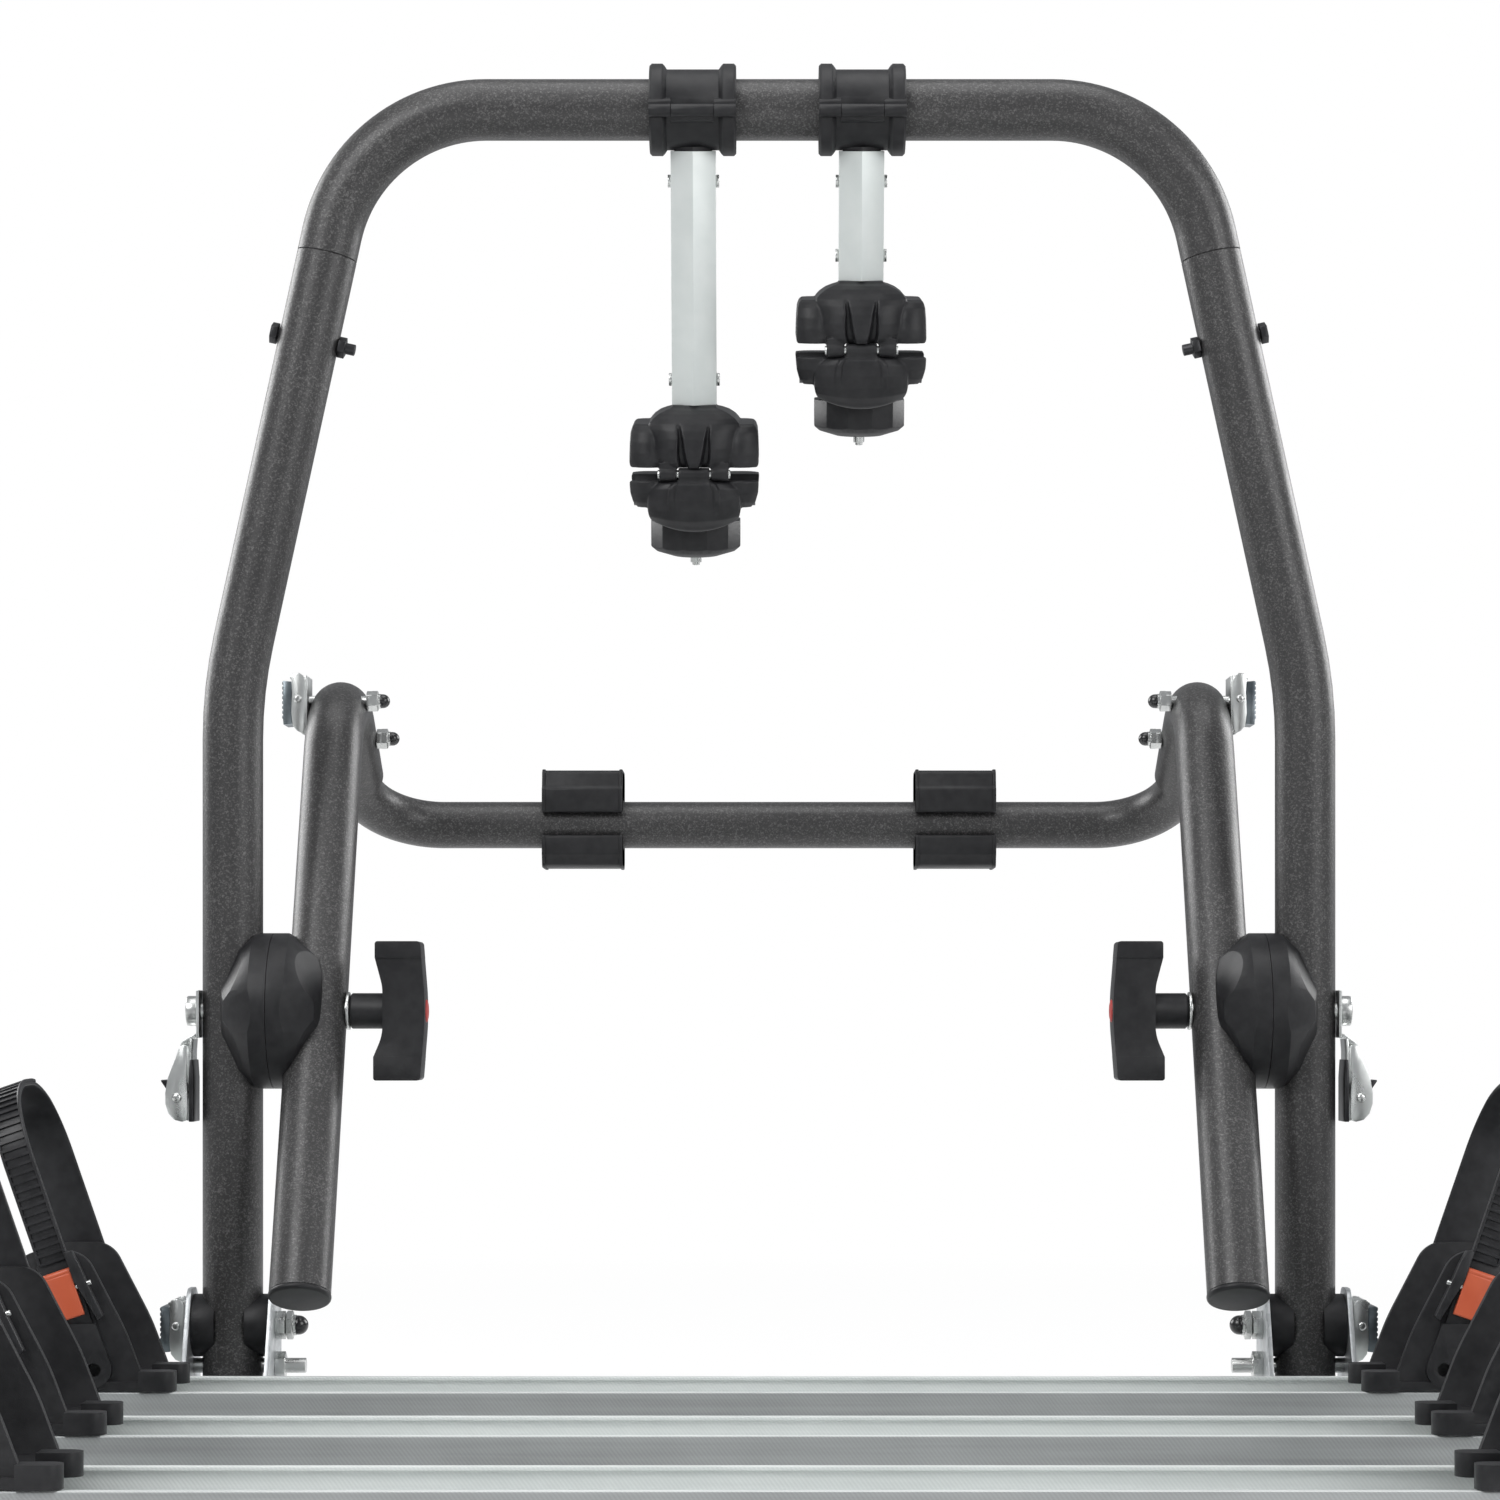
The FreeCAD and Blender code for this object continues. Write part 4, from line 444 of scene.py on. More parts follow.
def rounded_box(width: float, depth: float, radius: float, steps: int = 4) -> list[Point]:
    """A rectangle with round corners, as a section for a sweep.

    Args:
        width: the size along the section's first axis.
        depth: the size along its second axis.
        radius: the corners' radius.
        steps: the points to a corner.

    Returns:
        The outline's points in order.
    """
    points: list[Point] = []
    for number, (sx, sy) in enumerate(((1, 1), (-1, 1), (-1, -1), (1, -1))):
        for part in range(steps + 1):
            turn = math.pi / 2.0 * (number + part / steps)
            points.append((sx * (width / 2 - radius) + radius * math.cos(turn),
                           sy * (depth / 2 - radius) + radius * math.sin(turn)))
    return points


def sweep(path: Sequence[Vector], normal: Vector, section: Sequence[Point],
          scales: Sequence[float] | None = None) -> Mesh:
    """Carry a section along a flat path.

    Args:
        path: the points of the path, all in one plane.
        normal: the plane's normal; a section's first number runs along it.
        section: the outline carried along.
        scales: how large the section is at each point, all 1 if left out.

    Returns:
        The vertices and faces of the closed solid.
    """
    vertices: list[Vector] = []
    faces: list[tuple[int, ...]] = []
    size = len(section)
    last = len(path) - 1
    for index, point in enumerate(path):
        tangent = (path[min(index + 1, last)] - path[max(index - 1, 0)]).normalized()
        across = tangent.cross(normal).normalized()
        scale = scales[index] if scales else 1.0
        vertices += [point + (normal * u + across * v) * scale for u, v in section]
    for index in range(last):
        base = index * size
        for side in range(size):
            after = (side + 1) % size
            faces.append((base + side, base + after, base + size + after, base + size + side))
    faces.append(tuple(reversed(range(size))))
    faces.append(tuple(range(last * size, (last + 1) * size)))
    return vertices, faces


def eased_ends(path: list[Vector], edge: float, radius: float) -> tuple[list[Vector], list[float]]:
    """Add short bevelled ends to a tube's path.

    Args:
        path: the tube's path.
        edge: the bevel's width.
        radius: the tube's radius.

    Returns:
        The new path, and the section's scale at each point.
    """
    first = (path[1] - path[0]).normalized() * edge
    final = (path[-2] - path[-1]).normalized() * edge
    points = [path[0], path[0] + first, *path[1:-1], path[-1] + final, path[-1]]
    small = (radius - edge) / radius
    return points, [small, *([1.0] * (len(points) - 2)), small]


@dataclass
class Workshop:
    """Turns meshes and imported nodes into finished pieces.

    Args:
        materials: the materials by name.
    """

    frame: dict
    materials: dict[str, bpy.types.Material]
    made: list[str] = field(default_factory=list)

    def slot_of(self, node: str) -> str:
        """The record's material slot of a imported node."""
        parts = self.frame["record"]["subparts"]
        return next(part["material_slot"] for part in parts if part["node"] == node)

    def body_of(self, node: str) -> str:
        """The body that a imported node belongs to."""
        bodies = self.frame["record"]["behaviour"]["bodies"]
        return next(name for name, members in bodies.items() if node in members)

    def piece(self, name: str, mesh: Mesh | bpy.types.Mesh, finish: str, body: str,
              smooth: float = 35.0, replaces: Iterable[str] = (),
              slot: str | None = None) -> bpy.types.Object:
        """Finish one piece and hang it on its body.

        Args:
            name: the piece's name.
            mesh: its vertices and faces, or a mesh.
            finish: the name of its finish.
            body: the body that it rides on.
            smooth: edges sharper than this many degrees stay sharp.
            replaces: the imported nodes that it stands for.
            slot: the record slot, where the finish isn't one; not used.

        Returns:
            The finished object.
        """
        if not isinstance(mesh, bpy.types.Mesh):
            vertices, faces = mesh
            mesh = bpy.data.meshes.new(name)
            mesh.from_pydata([tuple(vertex) for vertex in vertices], [], faces)
        build = bmesh.new()
        build.from_mesh(mesh)
        bmesh.ops.recalc_face_normals(build, faces=build.faces)
        build.to_mesh(mesh)
        build.free()
        mesh.materials.clear()
        mesh.materials.append(self.materials[finish])
        mesh.shade_smooth()
        mesh.set_sharp_from_angle(angle=math.radians(smooth))
        piece = bpy.data.objects.new(name, mesh)
        bpy.context.scene.collection.objects.link(piece)
        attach(piece, body)
        nodes = list(replaces)
        if nodes:
            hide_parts(*nodes)
        self.made.append(name)
        LOG.info("%s: %d faces", name, len(mesh.polygons))
        return piece

    def packed_mesh(self, node: str) -> bpy.types.Mesh:
        """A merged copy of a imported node's mesh, with its flat faces joined.

        Args:
            node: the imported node's name.

        Returns:
            The merged copy.
        """
        source = self.frame["nodes"][node].data
        build = bmesh.new()
        build.from_mesh(source)
        bmesh.ops.remove_doubles(build, verts=build.verts, dist=0.000004)
        bmesh.ops.dissolve_limit(build, angle_limit=math.radians(0.8), verts=build.verts,
                                 edges=build.edges, use_dissolve_boundaries=False)
        mesh = bpy.data.meshes.new(node + "_copy")
        build.to_mesh(mesh)
        build.free()
        return mesh

    def bevelled(self, mesh: bpy.types.Mesh, width: float, sharp: float = 38.0,
                 segments: int = 2) -> bpy.types.Mesh:
        """Soften a mesh's sharp edges.

        Args:
            mesh: the mesh to soften.
            width: how wide the rounding is, in metres.
            sharp: edges sharper than this many degrees are softened.
            segments: the number of strips in the rounding.

        Returns:
            A new mesh.
        """
        holder = bpy.data.objects.new("bevel_holder", mesh)
        bpy.context.scene.collection.objects.link(holder)
        bevel = holder.modifiers.new("Edges", "BEVEL")
        bevel.width = width
        bevel.segments = segments
        bevel.limit_method = "ANGLE"
        bevel.angle_limit = math.radians(sharp)
        bevel.use_clamp_overlap = True
        graph = bpy.context.evaluated_depsgraph_get()
        result = bpy.data.meshes.new_from_object(holder.evaluated_get(graph))
        bpy.data.objects.remove(holder)
        return result

    def carved(self, mesh: bpy.types.Mesh, cuts: Iterable[bpy.types.Mesh]) -> bpy.types.Mesh:
        """Take cutters out of a mesh.

        Args:
            mesh: a closed mesh.
            cuts: the closed meshes taken out of it, one by one.

        Returns:
            A new mesh.
        """
        for cut in cuts:
            holder = bpy.data.objects.new("carve_holder", mesh)
            tool = bpy.data.objects.new("carve_tool", cut)
            for item in (holder, tool):
                bpy.context.scene.collection.objects.link(item)
            modifier = holder.modifiers.new("Carve", "BOOLEAN")
            modifier.operation = "DIFFERENCE"
            modifier.solver = "EXACT"
            modifier.object = tool
            graph = bpy.context.evaluated_depsgraph_get()
            mesh = bpy.data.meshes.new_from_object(holder.evaluated_get(graph))
            for item in (holder, tool):
                bpy.data.objects.remove(item)
        return mesh

    def moulded(self, pieces: Sequence[bpy.types.Mesh], cuts: Iterable[bpy.types.Mesh], voxel: float,
                rounds: int) -> bpy.types.Mesh:
        """Melt closed pieces into one moulding with soft edges, and carve it.

        Args:
            pieces: closed meshes that overlap.
            cuts: closed meshes taken out.
            voxel: the grain of the new surface, in metres.
            rounds: how many times the surface is smoothed.

        Returns:
            The moulding as one closed mesh.
        """
        build = bmesh.new()
        for piece in pieces:
            build.from_mesh(piece)
        joined = bpy.data.meshes.new("moulding")
        build.to_mesh(joined)
        build.free()
        holder = bpy.data.objects.new("moulding_holder", joined)
        bpy.context.scene.collection.objects.link(holder)
        remesh = holder.modifiers.new("Melt", "REMESH")
        remesh.mode = "VOXEL"
        remesh.voxel_size = voxel
        smooth = holder.modifiers.new("Ease", "SMOOTH")
        smooth.factor = 0.5
        smooth.iterations = rounds
        graph = bpy.context.evaluated_depsgraph_get()
        result = bpy.data.meshes.new_from_object(holder.evaluated_get(graph))
        bpy.data.objects.remove(holder)
        return self.carved(result, cuts)

    def soften(self, node: str, width: float, finish: str | None = None, smooth: float = 40.0,
               sharp: float = 38.0) -> bpy.types.Object:
        """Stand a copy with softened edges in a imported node's place.

        Args:
            node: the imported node's name.
            width: the soft edge's width in metres.
            finish: the finish, or None for the slot's own.
            smooth: the angle up to which faces shade as one.
            sharp: the angle past which an edge is softened.

        Returns:
            The finished piece.
        """
        mesh = self.bevelled(self.packed_mesh(node), width, sharp)
        slot = self.slot_of(node)
        return self.piece(node + "_dressed", mesh, finish or slot, self.body_of(node),
                          smooth, replaces=[node], slot=slot)


@dataclass
class BentTubes:
    """The hoop, its legs, the car-side arms and the crossbar, as smooth bent tube."""

    shop: Workshop
    top: float = 0.738
    corner: float = 0.2187
    knee: float = 0.429
    offset: float = 0.2859
    seam: float = 0.660
    arm_x: float = 0.241
    arm_foot: float = 0.1635
    arm_reach: float = 0.2114
    arm_sleeve: float = 0.1058
    arm_lean: float = math.radians(26.8)
    bar_drop: float = math.radians(29.0)
    bar_reach: float = 0.159
    joint: float = 0.2575
    bar_radius: float = 0.0138

    def slant(self, height: float) -> float:
        """How far from the middle the slanted tube is at a height."""
        return self.offset - (height - self.knee) * (self.offset - self.corner) / (self.top - self.knee)

    def tube(self, name: str, corners: Sequence[tuple[Vector, float]], normal: Vector,
             body: str, radius: float = TUBE_RADIUS) -> None:
        """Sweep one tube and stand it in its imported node's place.

        Args:
            name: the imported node's name.
            corners: the path's corners and their radii.
            normal: the normal of the bends' plane.
            body: the body that it rides on.
            radius: the tube's radius.
        """
        path, scales = eased_ends(rounded_path(corners), 0.0003, radius)
        self.shop.piece(name + "_tube", sweep(path, normal, ring(radius), scales), "powder_coat",
                        body, replaces=[name])

    def arm_corner(self) -> Vector:
        """The corner of the car-side arms' bend, in the middle plane."""
        return at(0.0, math.sin(self.arm_lean) * self.arm_reach,
                  self.joint + math.cos(self.arm_lean) * self.arm_reach)

    def back(self, reach: float) -> Vector:
        """A point on the line that runs back and down from the arms' bend."""
        return self.arm_corner() + Vector((0.0, math.cos(self.bar_drop), -math.sin(self.bar_drop))) * reach

    def make(self) -> None:
        """Build all six tubes."""
        y_axis = Vector((0.0, 1.0, 0.0))
        x_axis = Vector((1.0, 0.0, 0.0))
        seam = self.slant(self.seam)
        self.tube("upper_hoop", [
            (at(-seam, 0.0, self.seam + 0.0001), 0.0),
            (at(-self.corner, 0.0, self.top), 0.084),
            (at(self.corner, 0.0, self.top), 0.084),
            (at(seam, 0.0, self.seam + 0.0001), 0.0)], y_axis, "hoop")
        for word, side in SIDES.items():
            self.tube(word + "_leg", [
                (at(side * seam, 0.0, self.seam - 0.0001), 0.0),
                (at(side * self.offset, 0.0, self.knee), 0.25),
                (at(side * self.offset, 0.0, 0.0575), 0.0)], y_axis, "hoop")
            shift = Vector((side * self.arm_x, 0.0, 0.0))
            lean = Vector((0.0, math.sin(self.arm_lean), math.cos(self.arm_lean)))
            self.tube("arm_" + word, [
                (shift + at(0.0, 0.0, self.joint) - lean * self.arm_foot, 0.0),
                (shift + self.arm_corner(), 0.05),
                (shift + self.back(self.arm_sleeve), 0.0)], x_axis, "car_frame")
        slope = Vector((0.0, math.sin(self.bar_drop), math.cos(self.bar_drop)))
        bar = Vector((self.arm_x, 0.0, 0.0))
        self.tube("crossbar", [
            (self.back(self.arm_sleeve - 0.02) - bar, 0.0),
            (self.back(self.bar_reach) - bar, 0.048),
            (self.back(self.bar_reach) + bar, 0.048),
            (self.back(self.arm_sleeve - 0.02) + bar, 0.0)], slope, "car_frame", self.bar_radius)


@dataclass
class TiltJoints:
    """The moulded drums between legs and arms, and the tee knobs that lock them."""

    shop: Workshop
    middle: float = 0.26345
    height: float = 0.2575
    waist_low: float = 0.0241
    waist_high: float = 0.0281
    waist_step: float = 0.0008
    cap_face: float = 0.1829

    def facet(self, mesh: bpy.types.Mesh, sense: float, x: float) -> bpy.types.Mesh:
        """Cut eight flats round a drum's sloping side.

        Args:
            mesh: the drum half.
            sense: which way its outer face looks along X.
            x: where the joint's middle is along X.

        Returns:
            The faceted mesh.
        """
        build = bmesh.new()
        build.from_mesh(mesh)
        for number in range(8):
            turn = math.radians(45.0 * number)
            radial = Vector((0.0, -math.cos(turn), math.sin(turn)))
            flat = number % 2 == 0
            place, reach = (0.0103, 0.0392) if flat else (0.0120, 0.0408)
            across, along = (0.769, 0.639) if flat else (0.561, 0.828)
            rim = Vector((x, SHIFT, self.height)) + radial * reach + Vector((sense * place, 0.0, 0.0))
            normal = (radial * across + Vector((sense * along, 0.0, 0.0))).normalized()
            cut = bmesh.ops.bisect_plane(build, geom=[*build.verts, *build.edges, *build.faces],
                                         plane_co=rim, plane_no=normal, clear_outer=True)
            edges = [item for item in cut["geom_cut"] if isinstance(item, bmesh.types.BMEdge)]
            bmesh.ops.holes_fill(build, edges=edges, sides=0)
        build.to_mesh(mesh)
        build.free()
        return mesh

    def make(self) -> None:
        """Build the drums, the knobs and the knobs' caps."""
        for word, side in SIDES.items():
            for kind, sense in (("leg", side), ("arm", -side)):
                node = f"{kind}_joint_half_{word}"
                mesh = self.facet(self.shop.packed_mesh(node), sense, side * self.middle)
                self.shop.piece(node + "_dressed", self.shop.bevelled(mesh, 0.0007, 14.0), "black_moulding",
                                self.shop.body_of(node), 20.0, replaces=[node])
            self.knob(word)
            self.cap(word, side)

    def knob(self, word: str) -> None:
        """The knob, whose two ends stand a little proud of its waist, front and back.

        Args:
            word: left or right.
        """
        node = f"tee_knob_{word}"
        low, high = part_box(node)
        past = 0.01
        foot, head = self.height - self.waist_low, self.height + self.waist_high
        corners = ((low[0] - past, foot), (high[0] + past, foot), (high[0] + past, head),
                   (low[0] - past, head))
        cuts = []
        for near, far in ((low[1] - past, low[1] + self.waist_step),
                          (high[1] - self.waist_step, high[1] + past)):
            rings = [[Vector((x, y, z)) for x, z in corners] for y in (near, far)]
            cuts.append(BarJaws.prism(*rings))
        mesh = self.shop.carved(self.shop.packed_mesh(node), cuts)
        self.shop.piece(node + "_dressed", self.shop.bevelled(mesh, 0.0007), "black_moulding", node, 40.0,
                        replaces=[node])

    def cap(self, word: str, side: float) -> None:
        """The small coloured cap in the knob's inboard face.

        Args:
            word: left or right.
            side: -1 on the left, 1 on the right.
        """
        centre = Vector((side * self.cap_face, SHIFT, self.height))
        path = [centre + Vector((side * 0.004, 0.0, 0.0)), centre,
                centre - Vector((side * 0.0008, 0.0, 0.0)),
                centre - Vector((side * 0.0013, 0.0, 0.0))]
        mesh = sweep(path, Vector((0.0, 0.0, 1.0)), ring(0.0062, 40), [1.0, 1.0, 0.94, 0.6])
        self.shop.piece(f"tee_knob_cap_{word}", mesh, "cap_red", f"tee_knob_{word}", slot="black_moulding")


@dataclass
class Ladder:
    """The raised rungs on a strap, laid along its path by geometry nodes."""

    pitch: float = 0.0042
    width: float = 0.0136
    tall: float = 0.0013
    along: float = 0.0015

    def tree(self) -> bpy.types.NodeTree:
        """Build the node group that lays rungs along a line.

        Returns:
            The node group, whose inputs are the line, the pitch, the rung's size and its material.
        """
        group = bpy.data.node_groups.new("strap_ladder", "GeometryNodeTree")
        face = group.interface
        face.new_socket(name="Line", in_out="INPUT", socket_type="NodeSocketGeometry")
        face.new_socket(name="Pitch", in_out="INPUT", socket_type="NodeSocketFloat")
        face.new_socket(name="Rung", in_out="INPUT", socket_type="NodeSocketVector")
        face.new_socket(name="Across", in_out="INPUT", socket_type="NodeSocketVector")
        face.new_socket(name="Finish", in_out="INPUT", socket_type="NodeSocketMaterial")
        face.new_socket(name="Rungs", in_out="OUTPUT", socket_type="NodeSocketGeometry")
        nodes, links = group.nodes, group.links
        source = nodes.new("NodeGroupInput")
        result = nodes.new("NodeGroupOutput")
        curve = nodes.new("GeometryNodeMeshToCurve")
        spaced = nodes.new("GeometryNodeResampleCurve")
        spaced.mode = "LENGTH"
        tangent = nodes.new("GeometryNodeInputTangent")
        across = nodes.new("FunctionNodeAlignRotationToVector")
        across.axis = "X"
        along = nodes.new("FunctionNodeAlignRotationToVector")
        along.axis = "Z"
        along.pivot_axis = "X"
        rung = nodes.new("GeometryNodeMeshCube")
        lay = nodes.new("GeometryNodeInstanceOnPoints")
        real = nodes.new("GeometryNodeRealizeInstances")
        paint = nodes.new("GeometryNodeSetMaterial")
        links.new(source.outputs["Line"], curve.inputs["Mesh"])
        links.new(curve.outputs["Curve"], spaced.inputs["Curve"])
        links.new(source.outputs["Pitch"], spaced.inputs["Length"])
        links.new(source.outputs["Across"], across.inputs["Vector"])
        links.new(across.outputs["Rotation"], along.inputs["Rotation"])
        links.new(tangent.outputs["Tangent"], along.inputs["Vector"])
        links.new(source.outputs["Rung"], rung.inputs["Size"])
        links.new(spaced.outputs["Curve"], lay.inputs["Points"])
        links.new(rung.outputs["Mesh"], lay.inputs["Instance"])
        links.new(along.outputs["Rotation"], lay.inputs["Rotation"])
        links.new(lay.outputs["Instances"], real.inputs["Geometry"])
        links.new(real.outputs["Geometry"], paint.inputs["Geometry"])
        links.new(source.outputs["Finish"], paint.inputs["Material"])
        links.new(paint.outputs["Geometry"], result.inputs["Rungs"])
        return group

    def lay(self, group: bpy.types.NodeTree, line: Sequence[Vector], across: Vector,
            finish: bpy.types.Material) -> bpy.types.Mesh:
        """Lay the rungs along one line.

        Args:
            group: the node group from tree().
            line: the points of the line.
            across: the direction of the rungs.
            finish: the material.

        Returns:
            The rungs as one plain mesh.
        """
        mesh = bpy.data.meshes.new("ladder_line")
        mesh.from_pydata([tuple(point) for point in line], [(n, n + 1) for n in range(len(line) - 1)], [])
        holder = bpy.data.objects.new("ladder_holder", mesh)
        bpy.context.scene.collection.objects.link(holder)
        modifier = holder.modifiers.new("Ladder", "NODES")
        modifier.node_group = group
        sizes = {"Pitch": self.pitch, "Rung": (self.width, self.tall, self.along),
                 "Across": tuple(across), "Finish": finish}
        for item in group.interface.items_tree:
            if item.item_type == "SOCKET" and item.name in sizes and item.in_out == "INPUT":
                modifier[item.identifier] = sizes[item.name]
        graph = bpy.context.evaluated_depsgraph_get()
        result = bpy.data.meshes.new_from_object(holder.evaluated_get(graph))
        holder.modifiers.remove(modifier)
        bpy.data.objects.remove(holder)
        return result


@dataclass
class WheelCradles:
    """The six wheel cradles with their ladder straps and ratchets."""

    shop: Workshop
    offset: float = 0.357
    front_shift: float = 0.018
    lean: float = math.radians(19.0)
    foot: float = 0.023
    lip: float = 0.0673
    fin_outer: float = 0.041
    height: float = 0.160
    arch: float = 0.038
    thick: float = 0.0024
    width: float = 0.022
    start: float = 0.0688
    front_width: float = 0.0155
    ladder: Ladder = field(default_factory=Ladder)

    def lay(self, side: float, x: float, rail: float, across: float, y: float, up: float) -> Vector:
        """A point in a strap's leaning plane, from its across, Y and up places.

        Args:
            side: -1 on the left, 1 on the right.
            x: the cradle's distance from the rack's middle.
            rail: the Y of the rail's middle.
            across: the place across the strap.
            y: the place along Y from the rail's middle.
            up: the place up the lean.

        Returns:
            The point in the row frame.
        """
        lean = self.lean * side
        return at(side * (x - self.foot) + across * math.cos(lean) + up * math.sin(lean), rail + y,
                  self.lip - across * math.sin(lean) + up * math.cos(lean))

    def strap(self, name: str, side: float, x: float, rail: float, group: bpy.types.NodeTree) -> None:
        """One strap band and its ladder of rungs.

        Args:
            name: the place that the cradle's name gives.
            side: -1 on the left, 1 on the right.
            x: the cradle's distance from the rack's middle.
            rail: the Y of the rail's middle.
            group: the node group that lays the rungs.
        """
        back = self.fin_outer + 0.0025 - self.thick / 2
        front = self.fin_outer + 0.0044 - self.thick / 2
        top = self.height - self.thick / 2
        corners = [(back, 0.014, 0.0), (back, top, self.arch), (-front, top, self.arch),
                   (-front, self.start, 0.0)]
        path = rounded_path([(self.lay(side, x, rail, 0.0, y, up), radius)
                             for y, up, radius in corners], 0.06)
        across = (self.lay(side, x, rail, 1.0, 0.0, 0.0)
                  - self.lay(side, x, rail, 0.0, 0.0, 0.0)).normalized()
        band = self.tapered(path, across, rail)
        piece = self.shop.piece(f"strap_band_{name}", band, "strap_polymer", f"cradle_{name}", 30.0,
                                replaces=[f"strap_{name}"])
        centre = self.lay(side, x, rail, 0.0, 0.0, top - self.arch)
        line = []
        for point in reversed(path):
            out = Vector((0.0, point.y - centre.y, max(0.0, point.z - centre.z)))
            if point.y > rail + SHIFT + 0.012:
                break
            line.append(point + out.normalized() * (self.thick / 2 + self.ladder.tall * 0.3))
        rungs = self.ladder.lay(group, line, across, piece.data.materials[0])
        self.shop.piece(f"strap_rungs_{name}", rungs, "strap_polymer", f"cradle_{name}", 30.0)
        for edge in (-1.0, 1.0):
            rim_line = [point + across * (edge * (self.narrow(point, rail) / 2 - 0.0008)) for point in line]
            rim = sweep(rim_line, across, rounded_box(0.0014, 0.0016, 0.0004, 2))
            self.shop.piece(f"strap_rim_{name}_{'inner' if edge < 0 else 'outer'}", rim, "strap_polymer",
                            f"cradle_{name}", 40.0)

    def narrow(self, point: Vector, rail: float) -> float:
        """How wide the strap is at a point: full behind, narrower down the front."""
        share = min(1.0, max(0.0, (rail + SHIFT + 0.030 - point.y) / 0.060))
        return self.width + (self.front_width - self.width) * share

    def tapered(self, path: Sequence[Vector], across: Vector, rail: float) -> Mesh:
        """The strap's band, narrowing from its root behind to its toothed front.

        Args:
            path: the band's middle line.
            across: the direction across the band.
            rail: the Y of the rail's middle.

        Returns:
            The band's points and faces.
        """
        vertices, faces = sweep(path, across, rounded_box(self.width, self.thick, 0.0008))
        size = len(vertices) // len(path)
        for index, point in enumerate(path):
            share = self.narrow(point, rail) / self.width
            for number in range(index * size, (index + 1) * size):
                along = (vertices[number] - point).dot(across)
                vertices[number] = vertices[number] + across * (along * (share - 1.0))
        return vertices, faces

    def block(self, side: float, x: float, rail: float, outline: Sequence[Point], low: float,
              high: float) -> Mesh:
        """A plate in the leaning plane: an outline of across and up, between two Y places.

        Args:
            side: -1 on the left, 1 on the right.
            x: the cradle's distance from the rack's middle.
            rail: the Y of the rail's middle.
            outline: places across and up.
            low: the plate's near Y.
            high: the plate's far Y.

        Returns:
            The plate's points and faces.
        """
        count = len(outline)
        vertices = [self.lay(side, x, rail, u, y, v) for y in (low, high) for u, v in outline]
        faces = [(n, (n + 1) % count, count + (n + 1) % count, count + n) for n in range(count)]
        faces += [tuple(range(count)), tuple(range(count, 2 * count))]
        return vertices, faces

    def bevelled_block(self, mesh: Mesh, width: float) -> bpy.types.Mesh:
        """A plate's mesh with softened edges.

        Args:
            mesh: the plate's points and faces.
            width: the soft edge's width.

        Returns:
            The softened mesh.
        """
        plain = bpy.data.meshes.new("plate")
        plain.from_pydata([tuple(vertex) for vertex in mesh[0]], [], mesh[1])
        build = bmesh.new()
        build.from_mesh(plain)
        bmesh.ops.recalc_face_normals(build, faces=build.faces)
        build.to_mesh(plain)
        build.free()
        return self.shop.bevelled(plain, width, 30.0)

    def lever(self, name: str, side: float, x: float, rail: float) -> None:
        """The coloured lever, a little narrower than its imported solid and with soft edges.

        Args:
            name: the place that the cradle's name gives.
            side: -1 on the left, 1 on the right.
            x: the cradle's distance from the rack's middle.
            rail: the Y of the rail's middle.
        """
        node = f"ratchet_lever_{name}"
        mesh = self.shop.packed_mesh(node)
        origin = self.lay(side, x, rail, 0.0, 0.0, 0.0)
        across = self.lay(side, x, rail, 1.0, 0.0, 0.0) - origin
        for vertex in mesh.vertices:
            away = (vertex.co - origin).dot(across)
            vertex.co = vertex.co - across * (away * 0.33)
        self.shop.piece(node + "_dressed", self.shop.bevelled(mesh, 0.0006), "lever_orange",
                        f"lever_{name}", 40.0, replaces=[node])

    def ratchet(self, name: str, side: float, x: float, rail: float) -> None:
        """The ratchet's frame, steel pin and dark release lever beside the coloured lever.

        Args:
            name: the place that the cradle's name gives.
            side: -1 on the left, 1 on the right.
            x: the cradle's distance from the rack's middle.
            rail: the Y of the rail's middle.
        """
        body = f"cradle_{name}"
        face = -(self.fin_outer + 0.0052)
        inboard = -side
        frame = [(-0.0084, 0.026), (0.0084, 0.026), (0.0088, 0.058), (0.0090, 0.069), (-0.0090, 0.069),
                 (-0.0088, 0.058)]
        sides = self.block(side, x, rail, frame, -self.fin_outer - 0.0004, face + 0.0012)
        mesh = self.bevelled_block(sides, 0.0006)
        self.shop.piece(f"ratchet_frame_{name}", mesh, "strap_polymer", body, 30.0)
        profile = [(-0.0016, 0.0715), (0.0022, 0.0710), (0.0036, 0.0640), (0.0046, 0.0520), (0.0066, 0.0350),
                   (0.0036, 0.0335), (0.0004, 0.0480), (-0.0016, 0.0560)]
        lever = [(inboard * (0.0086 + u), v) for u, v in profile]
        mesh = self.bevelled_block(self.block(side, x, rail, lever, face - 0.0031, face + 0.0025), 0.0006)
        self.shop.piece(f"release_lever_{name}", mesh, "strap_polymer", body, 30.0)
        ends = [self.lay(side, x, rail, inboard * reach, face - 0.0014, 0.0530)
                for reach in (0.0071, 0.0150)]
        axis = (ends[1] - ends[0]).normalized()
        path = [ends[0], ends[0] + axis * 0.0004, ends[1] - axis * 0.0004, ends[1]]
        pin = sweep(path, Vector((0.0, 1.0, 0.0)), ring(0.0013, 24), [0.8, 1.0, 1.0, 0.8])
        self.shop.piece(f"ratchet_pin_{name}", pin, "zinc_hardware", body, 30.0)

